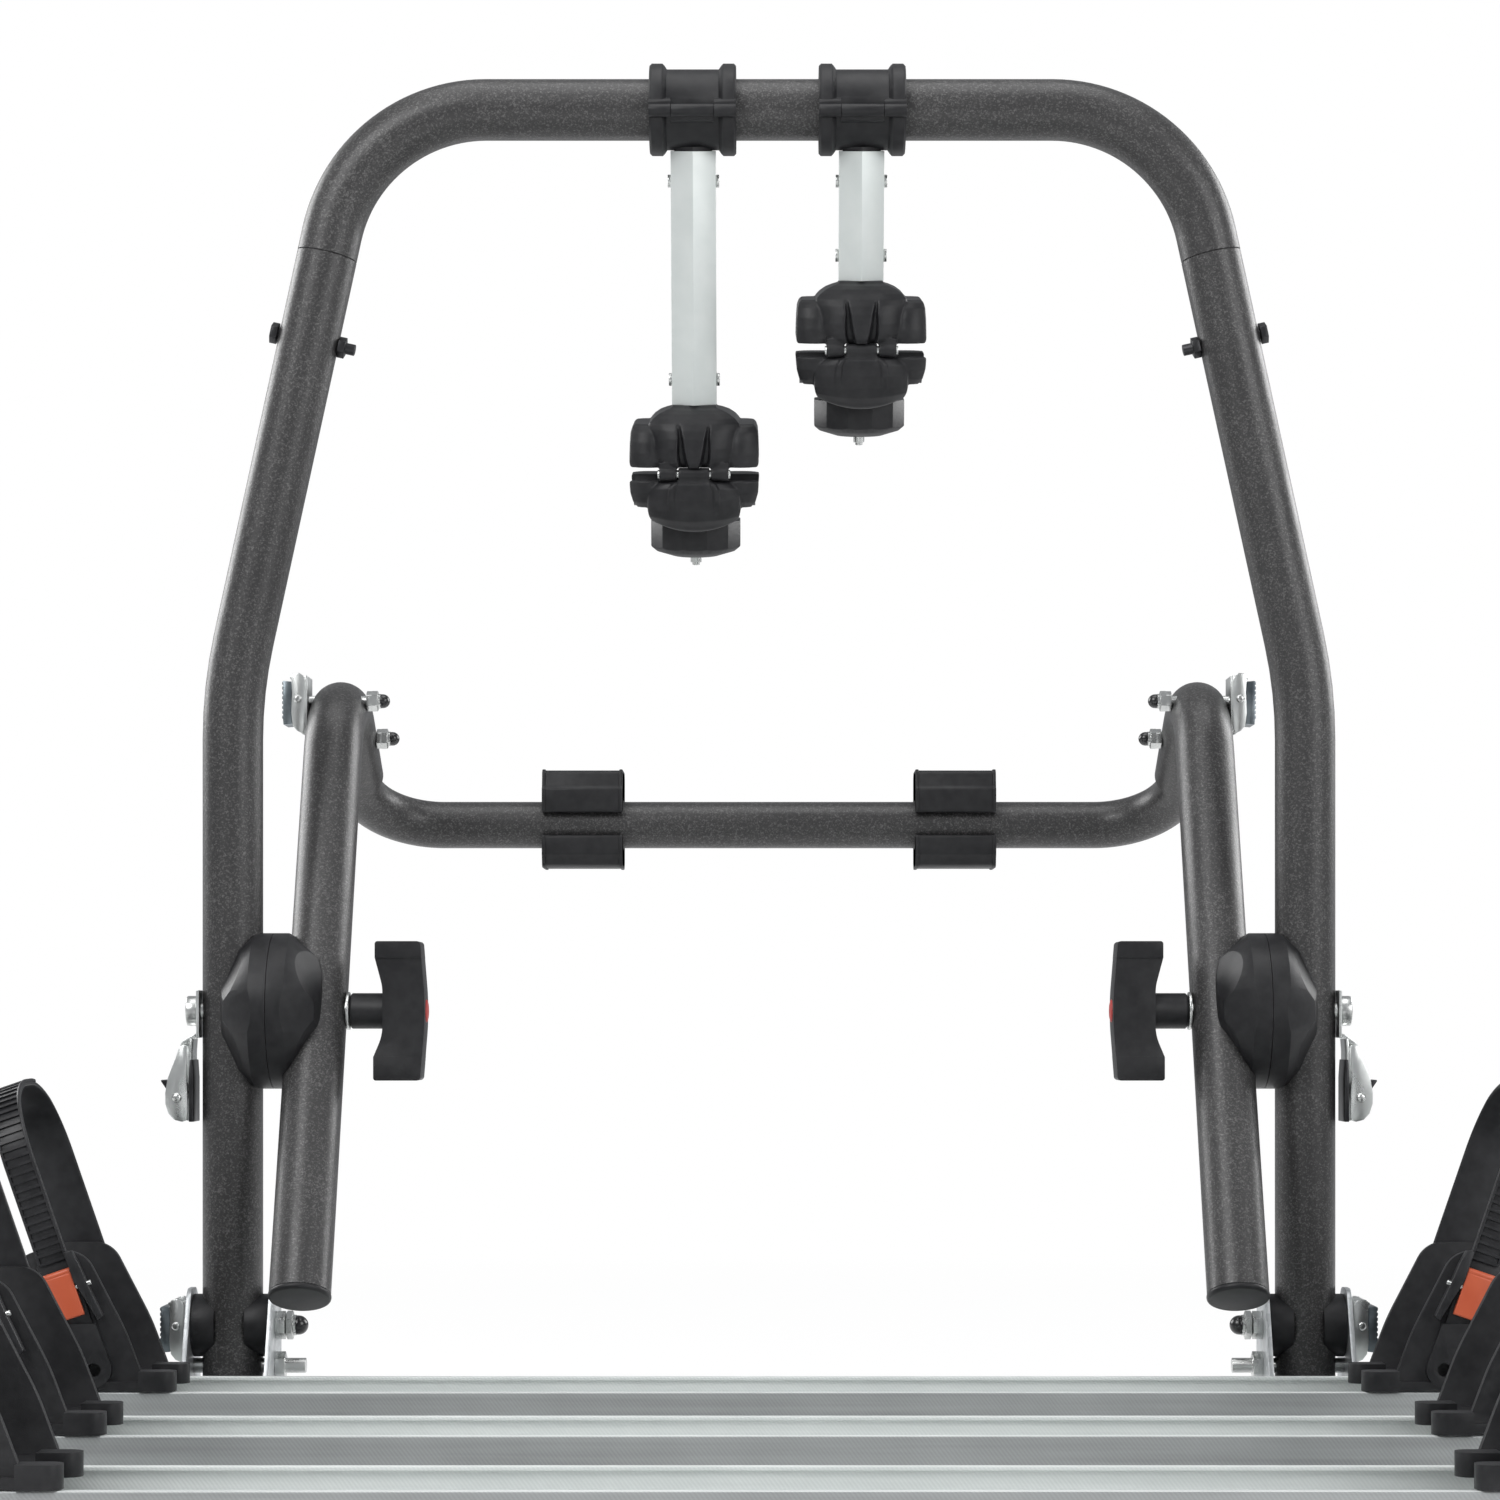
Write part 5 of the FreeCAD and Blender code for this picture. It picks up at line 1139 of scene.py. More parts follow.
    def make(self) -> None:
        """Build every cradle, strap and ratchet."""
        group = self.ladder.tree()
        for rail_name, rail in RAILS.items():
            for word, side in SIDES.items():
                name = f"{rail_name}_{word}"
                x = self.offset - (self.front_shift if rail_name == "front" else 0.0)
                self.shop.soften(f"cradle_{name}", 0.0011)
                self.lever(name, side, x, rail)
                self.strap(name, side, x, rail, group)
                self.ratchet(name, side, x, rail)


@dataclass
class BarJaws:
    """The two jaws at a bike arm's end: sculpted mouldings round a rubber-lined grip."""

    shop: Workshop
    tilt: float = math.radians(14.0)
    crown: float = 0.738
    hinge_drop: float = 0.036
    hinge_front: float = 0.024
    bolt_back: float = 0.024
    slot: float = 0.007
    depth: float = 0.0285
    grip: float = 0.0175
    grip_back: float = -0.002
    back: float = 0.036

    def spot(self, across: float, drop: float, back: float) -> Vector:
        """A point from its place across, down and behind the arm's lower end."""
        return at(across, math.sin(self.tilt) * drop + math.cos(self.tilt) * back,
                  self.crown - math.cos(self.tilt) * drop + math.sin(self.tilt) * back)

    def hang(self, mesh: bpy.types.Mesh, x: float, length: float) -> bpy.types.Mesh:
        """A copy of a piece, moved to the end of an arm.

        Args:
            mesh: the piece, drawn at the arm's lower end.
            x: the arm's place across.
            length: the arm's length.

        Returns:
            The moved copy.
        """
        copy = mesh.copy()
        copy.transform(Matrix.Translation((x, math.sin(self.tilt) * length, -math.cos(self.tilt) * length)))
        return copy

    def shell(self, rows: Sequence[tuple[float, float, float, float]], centre: float,
              front: Callable[[float, float], float], columns: int = 64,
              sag: Callable[[float, float], float] = lambda u, drop: 0.0) -> bpy.types.Mesh:
        """A closed block from rows of drop, half-width, front and back.

        Args:
            rows: for each row its drop, its half-width, its front place and its back place.
            centre: the middle of the rows, across.
            front: how far the front stands back, from the place across (-1 to 1) and the drop.
            columns: the number of columns across.
            sag: how much lower the front hangs, from the same two numbers.

        Returns:
            The block as a mesh.
        """
        build = bmesh.new()
        grid = []
        for drop, half, near, far in rows:
            line = [build.verts.new(self.spot(centre + half * (2 * n / columns - 1),
                                              drop + sag(2 * n / columns - 1, drop),
                                              near + front(2 * n / columns - 1, drop) * (far - near)))
                    for n in range(columns + 1)]
            rear = [build.verts.new(self.spot(centre + half * (2 * n / columns - 1), drop,
                                              far - 0.10 * abs(2 * n / columns - 1) ** 3 * (far - near)))
                    for n in range(columns + 1)]
            grid.append(line + rear[::-1])
        size = len(grid[0])
        for upper, lower in zip(grid, grid[1:]):
            for n in range(size):
                build.faces.new((upper[n], upper[(n + 1) % size], lower[(n + 1) % size], lower[n]))
        for line in (grid[0], grid[-1]):
            for n in range(columns):
                build.faces.new((line[n], line[n + 1], line[size - 2 - n], line[size - 1 - n]))
        bmesh.ops.recalc_face_normals(build, faces=build.faces)
        mesh = bpy.data.meshes.new("shell")
        build.to_mesh(mesh)
        build.free()
        return mesh

    def bar(self, outline: Sequence[Point], start: float, end: float) -> bpy.types.Mesh:
        """A prism across the arm: an outline of back and drop, between two places across.

        Args:
            outline: places behind and below the arm's end.
            start: the first place across.
            end: the last place across.

        Returns:
            The prism's mesh.
        """
        count = len(outline)
        vertices = [self.spot(u, drop, back) for u in (start, end) for back, drop in outline]
        faces = [(n, (n + 1) % count, count + (n + 1) % count, count + n) for n in range(count)]
        faces += [tuple(range(count)), tuple(range(count, 2 * count))]
        mesh = bpy.data.meshes.new("bar")
        mesh.from_pydata([tuple(vertex) for vertex in vertices], [], faces)
        build = bmesh.new()
        build.from_mesh(mesh)
        bmesh.ops.recalc_face_normals(build, faces=build.faces)
        build.to_mesh(mesh)
        build.free()
        return mesh

    def disc(self, back: float, drop: float, radius: float, sides: int = 56) -> list[Point]:
        """A round outline in back and drop."""
        return [(back + u, drop + v) for u, v in ring(radius, sides)]

    @staticmethod
    def smooth_rows(keys: Sequence[Sequence[float]], step: float = 0.0007) -> list[tuple[float, ...]]:
        """Fill in rows between key rows, easing each number along.

        Args:
            keys: the rows that set the shape, by drop.
            step: the drop from row to row.

        Returns:
            The key rows and those between them.
        """
        rows = []
        for first, second in zip(keys, keys[1:]):
            count = max(1, round((second[0] - first[0]) / step))
            rows += [tuple(a + (b - a) * n / count for a, b in zip(first, second)) for n in range(count)]
        rows.append(tuple(keys[-1]))
        return rows

    def upper_front(self, u: float, drop: float) -> float:
        """The domed front of the upper jaw, with its two tapering flutes.

        Args:
            u: the place across the jaw.
            drop: the place down the jaw.

        Returns:
            How far the front stands forward.
        """
        dome = 0.13 * abs(u) ** 3.0
        share = min(1.0, max(0.0, (drop - 0.008) / 0.0225))
        if drop > 0.008:
            half = 0.0003 + 0.0026 * share
            middle = 0.0076 - 0.0012 * share
            width = 0.0225
            near = abs(abs(u) * width - middle) / half
            if near < 1.0:
                dome += 0.075 * min(1.0, (1.0 - near) * 2.5) * (0.3 + 0.7 * share)
        return dome

    def lower_front(self, u: float, drop: float) -> float:
        """The flat, round-sided front of the lower jaw, with two faint ribs.

        Args:
            u: the place across the jaw.
            drop: the place down the jaw.

        Returns:
            How far the front stands forward.
        """
        flat = 0.09 * abs(u) ** 4.0
        reach = 1.0 - min(1.0, max(0.0, (drop - 0.041) / 0.017))
        near = abs(abs(u) * 0.0245 - 0.0122) / 0.0020
        if near < 1.0 and reach > 0.0:
            flat -= 0.022 * min(1.0, (1.0 - near) * 3.0) * min(1.0, reach * 2.0)
        return flat

    def lip(self, u: float, drop: float) -> float:
        """How far the lower jaw's front lip hangs below its plain end."""
        share = min(1.0, max(0.0, (drop - (self.hinge_drop + self.depth - 0.010)) / 0.010))
        return 0.0029 * (1.0 - u * u) * share - 0.0022 * u * u * share

    def lug(self, side: float, keys: Sequence[Sequence[float]]) -> bpy.types.Mesh:
        """One side ear, whose front is round and falls back next to the body.

        Args:
            side: -1 on the left, 1 on the right.
            keys: rows of drop, outer edge, front and back.

        Returns:
            The ear's mesh.
        """
        rows = self.smooth_rows(keys)
        centre = side * 0.0242

        def front(u: float, drop: float) -> float:
            """The ear's round front, hollowed towards the body."""
            outward = u * side
            return 0.012 + 0.085 * max(0.0, outward) ** 2.2 + 0.07 * max(0.0, -outward) ** 1.5

        return self.shell(rows, centre, front, 40)

    def upper(self) -> bpy.types.Mesh:
        """The fixed upper jaw.

        Returns:
            The jaw, drawn at the arm's lower end.
        """
        split = self.hinge_drop - self.slot / 2
        body = self.smooth_rows([
            (0.0, 0.0117, -0.0117, 0.0117), (0.0014, 0.0121, -0.0140, 0.0135),
            (0.0024, 0.0150, -0.0165, 0.0190), (0.0042, 0.0188, -0.0195, 0.0262),
            (0.0066, 0.0220, -0.0222, 0.0310), (0.0092, 0.0243, -0.0243, 0.0335),
            (0.0125, 0.0238, -0.0262, 0.0350), (0.0170, 0.0228, -0.0278, 0.0356),
            (0.0220, 0.0230, -0.0287, 0.0358), (0.0270, 0.0222, -0.0289, 0.0358),
            (0.0300, 0.0202, -0.0286, 0.0356), (split, 0.0190, -0.0270, 0.0350)])
        ear = [(0.0098, 0.0078, -0.0150, 0.0250), (0.0112, 0.0092, -0.0180, 0.0280),
               (0.0140, 0.0101, -0.0205, 0.0310), (0.0190, 0.0105, -0.0228, 0.0335),
               (0.0250, 0.0107, -0.0243, 0.0345), (0.0300, 0.0108, -0.0246, 0.0345),
               (split, 0.0104, -0.0243, 0.0340)]
        front = -self.hinge_front
        knuckle = [(front - 0.0020, split - 0.003), (front + 0.0050, split - 0.003),
                   (front + 0.0036, self.hinge_drop),
                   *[(front + 0.0037 * math.cos(math.radians(turn)), self.hinge_drop + 0.0037 *
                      math.sin(math.radians(turn))) for turn in range(15, 241, 15)]]
        pieces = [self.shell(body, 0.0, self.upper_front, 96)]
        pieces += [self.lug(side, ear) for side in (-1.0, 1.0)]
        pieces += [self.bar(knuckle, side * 0.014 - 0.0047, side * 0.014 + 0.0047) for side in (-1.0, 1.0)]
        cuts = [self.bar(self.disc(self.grip_back, self.hinge_drop, self.grip), -0.05, 0.05),
                self.bar(self.disc(front, self.hinge_drop, 0.00254, 24), -0.05, 0.05),
                self.bar(self.disc(front, self.hinge_drop, 0.0043, 32), -0.0087, 0.0087),
                self.well(self.bolt_back, 0.00305, split - 0.016, split + 0.004)]
        return self.shop.moulded(pieces, cuts, 0.00055, 3)

    def lower(self) -> bpy.types.Mesh:
        """The moving lower jaw.

        Returns:
            The jaw, drawn at the arm's lower end.
        """
        top = self.hinge_drop + self.slot / 2
        foot = self.hinge_drop + self.depth
        body = self.smooth_rows([
            (top, 0.0186, -0.0262, 0.0350), (top + 0.0012, 0.0204, -0.0284, 0.0358),
            (top + 0.0040, 0.0238, -0.0289, 0.0358), (top + 0.0100, 0.0250, -0.0289, 0.0358),
            (top + 0.0160, 0.0252, -0.0280, 0.0355), (top + 0.0200, 0.0246, -0.0266, 0.0330),
            (foot - 0.0025, 0.0238, -0.0236, 0.0270), (foot - 0.0009, 0.0228, -0.0222, 0.0258),
            (foot, 0.0212, -0.0200, 0.0245)])
        ear = [(top, 0.0106, -0.0240, 0.0335), (top + 0.0010, 0.0109, -0.0246, 0.0340),
               (top + 0.0070, 0.0104, -0.0236, 0.0335), (top + 0.0120, 0.0090, -0.0210, 0.0300),
               (top + 0.0150, 0.0066, -0.0178, 0.0250)]
        front = -self.hinge_front
        knuckle = [(front - 0.0024, top + 0.003), (front + 0.0050, top + 0.003),
                   *[(front + 0.0037 * math.cos(math.radians(turn)), self.hinge_drop - 0.0037 *
                      math.sin(math.radians(turn))) for turn in range(0, 211, 15)]]
        pieces = [self.shell(body, 0.0, self.lower_front, 96, self.lip)]
        pieces += [self.lug(side, ear) for side in (-1.0, 1.0)]
        pieces += [self.bar(knuckle, -0.0083, 0.0083)]
        cuts = [self.bar(self.disc(self.grip_back, self.hinge_drop, self.grip), -0.05, 0.05),
                self.bar(self.disc(front, self.hinge_drop, 0.00254, 24), -0.05, 0.05)]
        cuts += [self.bar(self.disc(front, self.hinge_drop, 0.0043, 32),
                          side * 0.014 - 0.0052, side * 0.014 + 0.0052)
                 for side in (-1.0, 1.0)]
        slot_half = 0.0033
        cuts.append(self.block(slot_half, self.bolt_back - slot_half, 0.045, top - 0.004, foot + 0.004))
        return self.shop.moulded(pieces, cuts, 0.00055, 3)

    def well(self, back: float, radius: float, start: float, end: float) -> bpy.types.Mesh:
        """A round cutter along the arm.

        Args:
            back: the place behind the arm's middle.
            radius: the cutter's radius.
            start: its upper end.
            end: its lower end.

        Returns:
            The cutter's mesh.
        """
        lower = [self.spot(u, start, back + v) for u, v in ring(radius, 28)]
        upper = [self.spot(u, end, back + v) for u, v in ring(radius, 28)]
        return self.prism(lower, upper)

    def block(self, half: float, near: float, far: float, start: float, end: float) -> bpy.types.Mesh:
        """A square cutter along the arm."""
        corners = [(-half, near), (half, near), (half, far), (-half, far)]
        return self.prism([self.spot(u, start, w) for u, w in corners],
                          [self.spot(u, end, w) for u, w in corners])

    @staticmethod
    def prism(lower: Sequence[Vector], upper: Sequence[Vector]) -> bpy.types.Mesh:
        """A closed prism between two outlines.

        Args:
            lower: the first outline.
            upper: the second outline, point for point.

        Returns:
            The prism's mesh.
        """
        count = len(lower)
        faces = [(n, (n + 1) % count, count + (n + 1) % count, count + n) for n in range(count)]
        faces += [tuple(range(count)), tuple(range(count, 2 * count))]
        build = bmesh.new()
        verts = [build.verts.new(point) for point in (*lower, *upper)]
        for face in faces:
            build.faces.new([verts[n] for n in face])
        bmesh.ops.recalc_face_normals(build, faces=build.faces)
        mesh = bpy.data.meshes.new("prism")
        build.to_mesh(mesh)
        build.free()
        return mesh

    def lining(self, low: int, high: int) -> bpy.types.Mesh:
        """A soft half ring that lines the grip, seen in the slot at each end.

        Args:
            low: the first angle in degrees.
            high: the last angle in degrees.

        Returns:
            The half ring's mesh.
        """
        outline = []
        for radius, turns in ((self.grip + 0.0012, range(low, high + 1, 4)),
                              (self.grip - 0.0001, range(high, low - 1, -4))):
            outline += [(self.grip_back + radius * math.cos(math.radians(turn)),
                         self.hinge_drop + radius * math.sin(math.radians(turn))) for turn in turns]
        return self.bar(outline, -0.0330, 0.0330)

    def make(self, arms: dict[str, tuple[float, float]]) -> None:
        """Build both jaws and their lining for each arm.

        Args:
            arms: each arm's name, place across and length.
        """
        upper, lower = self.upper(), self.lower()
        above, below = self.lining(196, 344), self.lining(16, 164)
        for name, (x, length) in arms.items():
            for mesh, word, body in ((upper, "fixed_jaw", "arm"), (lower, "moving_jaw", "jaw")):
                self.shop.piece(f"{name}_{word}_moulding", self.hang(mesh, x, length), "black_moulding",
                                f"{name}_{body}", 60.0, replaces=[f"{name}_{word}"])
            for mesh, word, body in ((above, "upper", "arm"), (below, "lower", "jaw")):
                self.shop.piece(f"{name}_{word}_grip_lining", self.hang(mesh, x, length), "strap_polymer",
                                f"{name}_{body}", 40.0, slot="black_moulding")


@dataclass
class BikeArms:
    """The two hexagonal arms with their bar clamps, jaws and hand knobs."""

    shop: Workshop

    def make(self) -> None:
        """Dress every piece of both arms."""
        jaws = BarJaws(self.shop)
        jaws.make({"long": (-0.0405, 0.155), "short": (0.0495, 0.089)})
        for name in ("long", "short"):
            self.shop.soften(f"{name}_clamp_seat", 0.0009)
            self.shop.soften(f"{name}_clamp_cap", 0.0009)
            self.shop.soften(f"{name}_clamp_knob", 0.0009)
            self.shop.soften(f"{name}_arm_tube", 0.0011)
            self.shop.soften(f"{name}_arm_fasteners", 0.0003)


@dataclass
class Platform:
    """The folded beams, the wheel rails and the hardware that joins them."""

    shop: Workshop

    def make(self) -> None:
        """Dress the beams, rails and bolts."""
        for word in SIDES:
            self.shop.soften(f"beam_{word}", 0.0006)
        for rail, place in RAILS.items():
            piece = self.shop.soften(f"rail_{rail}", 0.0006, sharp=50.0)
            # The outer front faces get the darker copy of the rail finish: painted shade.
            piece.data.materials.append(self.shop.materials["rail_face"])
            for face in piece.data.polygons:
                if face.normal.y < -0.6 and face.center.y < place + SHIFT - 0.0405:
                    face.material_index = 1
        self.shop.soften("platform_bolts", 0.0004)


@dataclass
class TailgatePads:
    """The two soft clips on the crossbar that rest against the car."""

    shop: Workshop
    tubes: BentTubes
    offset: float = 0.1105
    width: float = 0.0476

    def section(self, grow: float) -> list[Point]:
        """The clip's outline as back and up, open to the front round the bar.

        Args:
            grow: how far the outline stands out past the clip.

        Returns:
            The outline's points in order.
        """
        front, back, top, foot = -0.0190 - grow, 0.0215 + grow, 0.0322 + grow, -0.0258 - grow
        outer = [(front + 0.0012, 0.0066), (front, 0.0078), (front, 0.0205), (front + 0.0018, 0.0222),
                 (front + 0.0040, top - 0.0015), (front + 0.0065, top), (back - 0.0040, top),
                 (back, top - 0.0040), (back, foot + 0.0040), (back - 0.0040, foot), (front + 0.0060, foot),
                 (front + 0.0032, foot + 0.0012), (front + 0.0012, -0.0195), (front, -0.0182),
                 (front, -0.0078), (front + 0.0012, -0.0066)]
        inner = [(-0.01395 * math.cos(math.radians(turn)), 0.01395 * math.sin(math.radians(turn)))
                 for turn in range(-30, -331, -12)]
        return outer + inner

    def clip(self, middle: float, start: float, end: float, grow: float) -> bpy.types.Mesh:
        """One length of the clip's section along the bar.

        Args:
            middle: the clip's place across.
            start: the near end from its middle.
            end: the far end from its middle.
            grow: how far the section stands out.

        Returns:
            The clip's mesh.
        """
        bar = self.tubes.back(self.tubes.bar_reach)
        rings = [[Vector((middle + x, bar.y + back, bar.z + up)) for back, up in self.section(grow)]
                 for x in (start, end)]
        return BarJaws.prism(*rings)

    def make(self) -> None:
        """Build both clips, each with a thin rim at either end."""
        stands = ["tailgate_pads"]
        for word, side in SIDES.items():
            middle = side * self.offset
            whole = self.clip(middle, -self.width / 2, self.width / 2, -0.0004)
            body = self.shop.bevelled(whole, 0.0009, 24.0)
            self.shop.piece(f"pad_{word}", body, "black_moulding", "car_frame", 30.0, replaces=stands)
            stands = []
            for name, place in (("inner", -self.width / 2), ("outer", self.width / 2 - 0.0020)):
                rim = self.shop.bevelled(self.clip(middle, place, place + 0.0020, 0.0002), 0.0005, 24.0)
                self.shop.piece(f"pad_rim_{name}_{word}", rim, "black_moulding", "car_frame", 30.0)


@dataclass
class BoltedBuckles:
    """The four short cam buckles bolted flat against the frame, two high and two low."""

    shop: Workshop
    wide: float = 0.0124
    sheet: float = 0.0017

    def plate(self, side: float, outer: float, middle: Point, outline: Sequence[Point], near: float,
              far: float) -> bpy.types.Mesh:
        """A plate whose outline is drawn in depth from the outer face and height.

        Args:
            side: -1 on the left, 1 on the right.
            outer: the distance of the buckle's outer face from the rack's middle.
            middle: the buckle's middle in Y and Z.
            outline: corners as depth inward and height.
            near: the plate's front, from the middle in Y.
            far: the plate's back, from the middle in Y.

        Returns:
            The plate with soft edges.
        """
        rings = [[Vector((side * (outer - depth), middle[0] + y, middle[1] + up)) for depth, up in outline]
                 for y in (near, far)]
        return self.shop.bevelled(BarJaws.prism(*rings), 0.0004, 30.0)

    def comb(self) -> list[Point]:
        """The lever's outline: a flat inner side and ribs outside.

        Returns:
            The outline's points in order.
        """
        points = [(0.0056, 0.0118), (0.0010, 0.0122)]
        for number in range(8):
            top = 0.0108 - 0.0027 * number
            points += [(0.0003, top + 0.0008), (0.0003, top - 0.0006),
                       (0.0008, top - 0.0010), (0.0008, top - 0.0015)]
        return points + [(0.0010, -0.0122), (0.0056, -0.0118)]

    def one(self, name: str, body: str, side: float, outer: float, middle: Point, node: str | None) -> None:
        """Build one buckle.

        Args:
            name: the buckle's name.
            body: the body that it rides on.
            side: -1 on the left, 1 on the right.
            outer: the distance of its outer face from the rack's middle.
            middle: its middle in Y and Z.
            node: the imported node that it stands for, on the first of a pair.
        """
        cheek = [(0.0136, -0.0135), (0.0136, 0.0125), (0.0122, 0.0150), (0.0100, 0.0165), (0.0068, 0.0160),
                 (0.0056, 0.0130), (0.0060, 0.0060), (0.0056, -0.0060), (0.0064, -0.0128), (0.0088, -0.0158),
                 (0.0120, -0.0172)]
        stands = [node] if node else []
        for word, near in (("front", -self.wide), ("rear", self.wide - self.sheet)):
            mesh = self.plate(side, outer, middle, cheek, near, near + self.sheet)
            self.shop.piece(f"{name}_{word}_cheek", mesh, "zinc_buckle", body, 30.0, replaces=stands)
            stands = []
        back = [(0.0145, -0.0160), (0.0145, 0.0150), (0.0129, 0.0150), (0.0129, -0.0160)]
        self.shop.piece(f"{name}_back",
                        self.plate(side, outer, middle, back, -self.wide + 0.0003, self.wide - 0.0003),
                        "zinc_buckle", body, 30.0)
        crown = [(0.0118, 0.0135), (0.0118, 0.0152), (0.0070, 0.0158), (0.0046, 0.0142), (0.0050, 0.0128)]
        self.shop.piece(f"{name}_crown",
                        self.plate(side, outer, middle, crown, -self.wide + 0.001, self.wide - 0.001),
                        "zinc_buckle", body, 30.0)
        self.shop.piece(f"{name}_lever", self.plate(side, outer, middle, self.comb(), -self.wide + 0.0022,
                                                    self.wide - 0.0022),
                        "buckle_lever", body, 30.0, slot="zinc_buckle")
        axle = [Vector((side * (outer - 0.0092), middle[0] + y, middle[1] + 0.002)) for y in
                (-self.wide - 0.0012, -self.wide - 0.0009, -self.wide - 0.0003, self.wide + 0.0003,
                 self.wide + 0.0009, self.wide + 0.0012)]
        mesh = sweep(axle, Vector((1.0, 0.0, 0.0)), ring(0.0023, 28), [0.55, 0.9, 1.0, 1.0, 0.9, 0.55])
        self.shop.piece(f"{name}_axle", mesh, "zinc_hardware", body, 50.0)

    def make(self) -> None:
        """Build both pairs."""
        for node, body in (("upper_buckles", "car_frame"), ("lower_buckles", "platform")):
            low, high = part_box(node)
            middle = ((low[1] + high[1]) / 2, (low[2] + high[2]) / 2 - 0.0015)
            first: str | None = node
            for word, side in SIDES.items():
                self.one(f"{node[:-1]}_{word}", body, side, float(high[0]), middle, first)
                first = None


@dataclass
class SideBuckles:
    """The two cam buckles that hang from the tilt joints' bolts, outside the legs."""

    shop: Workshop
    leg: float = 0.3019
    break_height: float = 0.2432
    wide: float = 0.0118
    sheet: float = 0.0017
    rivet_out: float = 0.0121
    rivet_height: float = 0.2114
    rivet_radius: float = 0.0027
    cam_height: float = 0.2160
    cam_radius: float = 0.0040

    def plate(self, side: float, middle: float, outline: Sequence[Point], near: float, far: float,
              soft: float = 0.0004) -> bpy.types.Mesh:
        """A plate whose outline is drawn as millimetres out from the leg and height.

        Args:
            side: -1 on the left, 1 on the right.
            middle: the buckle's middle in Y.
            outline: the distance out from the leg and the height, in millimetres.
            near: the front face from the middle.
            far: the rear face from the middle.
            soft: the soft edge's width.

        Returns:
            The plate's mesh.
        """
        rings = [[Vector((side * (self.leg + out / 1000), middle + y, up / 1000)) for out, up in outline]
                 for y in (near, far)]
        return self.shop.bevelled(BarJaws.prism(*rings), soft, 28.0)

    def eye(self, node: str) -> bpy.types.Mesh:
        """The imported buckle's eye plate alone, cut off above the cam's cheeks.

        Args:
            node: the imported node's name.

        Returns:
            The eye plate's mesh.
        """
        build = bmesh.new()
        build.from_mesh(self.shop.packed_mesh(node))
        cut = bmesh.ops.bisect_plane(build, geom=[*build.verts, *build.edges, *build.faces],
                                     plane_co=(0.0, 0.0, self.break_height), plane_no=(0.0, 0.0, -1.0),
                                     clear_outer=True)
        edges = [item for item in cut["geom_cut"] if isinstance(item, bmesh.types.BMEdge)]
        bmesh.ops.holes_fill(build, edges=edges, sides=0)
        mesh = bpy.data.meshes.new("eye")
        build.to_mesh(mesh)
        build.free()
        return self.shop.bevelled(mesh, 0.0004)

    def make(self) -> None:
        """Build both buckles."""
        cheek = [(6.6, 239.4), (9.6, 239.2), (11.2, 237.6), (13.0, 232.0), (15.4, 226.0), (17.2, 221.0),
                 (18.3, 214.0), (18.2, 208.0), (16.6, 203.0), (13.4, 199.6), (9.4, 198.6), (6.8, 199.4),
                 (6.4, 206.0), (6.6, 215.0), (7.3, 222.6), (6.9, 230.0)]
        backing = [(3.4, 198.6), (5.9, 198.6), (5.9, 222.0), (5.4, 231.6), (4.0, 231.6), (3.4, 222.0)]
        strip = [(4.1, 242.8), (5.6, 242.8), (6.3, 236.0), (6.3, 214.8), (4.6, 214.8), (4.6, 236.0)]
        hook = [(2.2, 245.6), (4.2, 244.8), (6.8, 243.6), (9.4, 241.6), (11.0, 239.0), (9.8, 238.2),
                (7.6, 239.8),
                (5.6, 242.0), (2.6, 243.4)]
        tip = [(16.8, 220.4), (21.0, 220.9), (21.2, 220.2), (18.6, 216.4), (17.9, 212.8), (16.6, 213.4)]
        for word, side in SIDES.items():
            node = f"side_buckle_{word}"
            body = self.shop.body_of(node)
            low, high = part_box(node)
            middle = float(low[1] + high[1]) / 2
            self.shop.piece(f"{node}_eye", self.eye(node), "zinc_buckle", body, 40.0, replaces=[node])
            for name, near in (("front", -self.wide), ("rear", self.wide - self.sheet)):
                mesh = self.plate(side, middle, cheek, near, near + self.sheet, 0.0005)
                self.shop.piece(f"{node}_{name}_cheek", mesh, "zinc_buckle", body, 30.0)
            inside = self.wide - self.sheet - 0.0003
            for name, outline, finish, reach in (("backing", backing, "black_hardware", self.wide - 0.0004),
                                                 ("strip", strip, "zinc_buckle", inside),
                                                 ("hook", hook, "zinc_buckle", inside - 0.001),
                                                 ("tip", tip, "black_hardware", inside - 0.0015)):
                mesh = self.plate(side, middle, outline, -reach, reach)
                self.shop.piece(f"{node}_{name}", mesh, finish, body, 30.0, slot="zinc_buckle")
            x = side * (self.leg + self.rivet_out)
            reach = self.wide + 0.0014
            steps = (-reach, -reach + 0.0003, -reach + 0.0008, -reach + 0.0014,
                     reach - 0.0014, reach - 0.0008, reach - 0.0003, reach)
            axle = [Vector((x, middle + y, self.rivet_height)) for y in steps]
            mesh = sweep(axle, Vector((1.0, 0.0, 0.0)), ring(self.rivet_radius, 32),
                         [0.35, 0.7, 0.92, 1.0, 1.0, 0.92, 0.7, 0.35])
            self.shop.piece(f"{node}_rivet", mesh, "zinc_hardware", body, 50.0)
            steps = (-inside + 0.0005, -inside + 0.001, inside - 0.001, inside - 0.0005)
            drum = [Vector((x, middle + y, self.cam_height)) for y in steps]
            mesh = sweep(drum, Vector((1.0, 0.0, 0.0)), ring(self.cam_radius, 28), [0.9, 1.0, 1.0, 0.9])
            self.shop.piece(f"{node}_cam", mesh, "black_hardware", body, 50.0, slot="zinc_buckle")


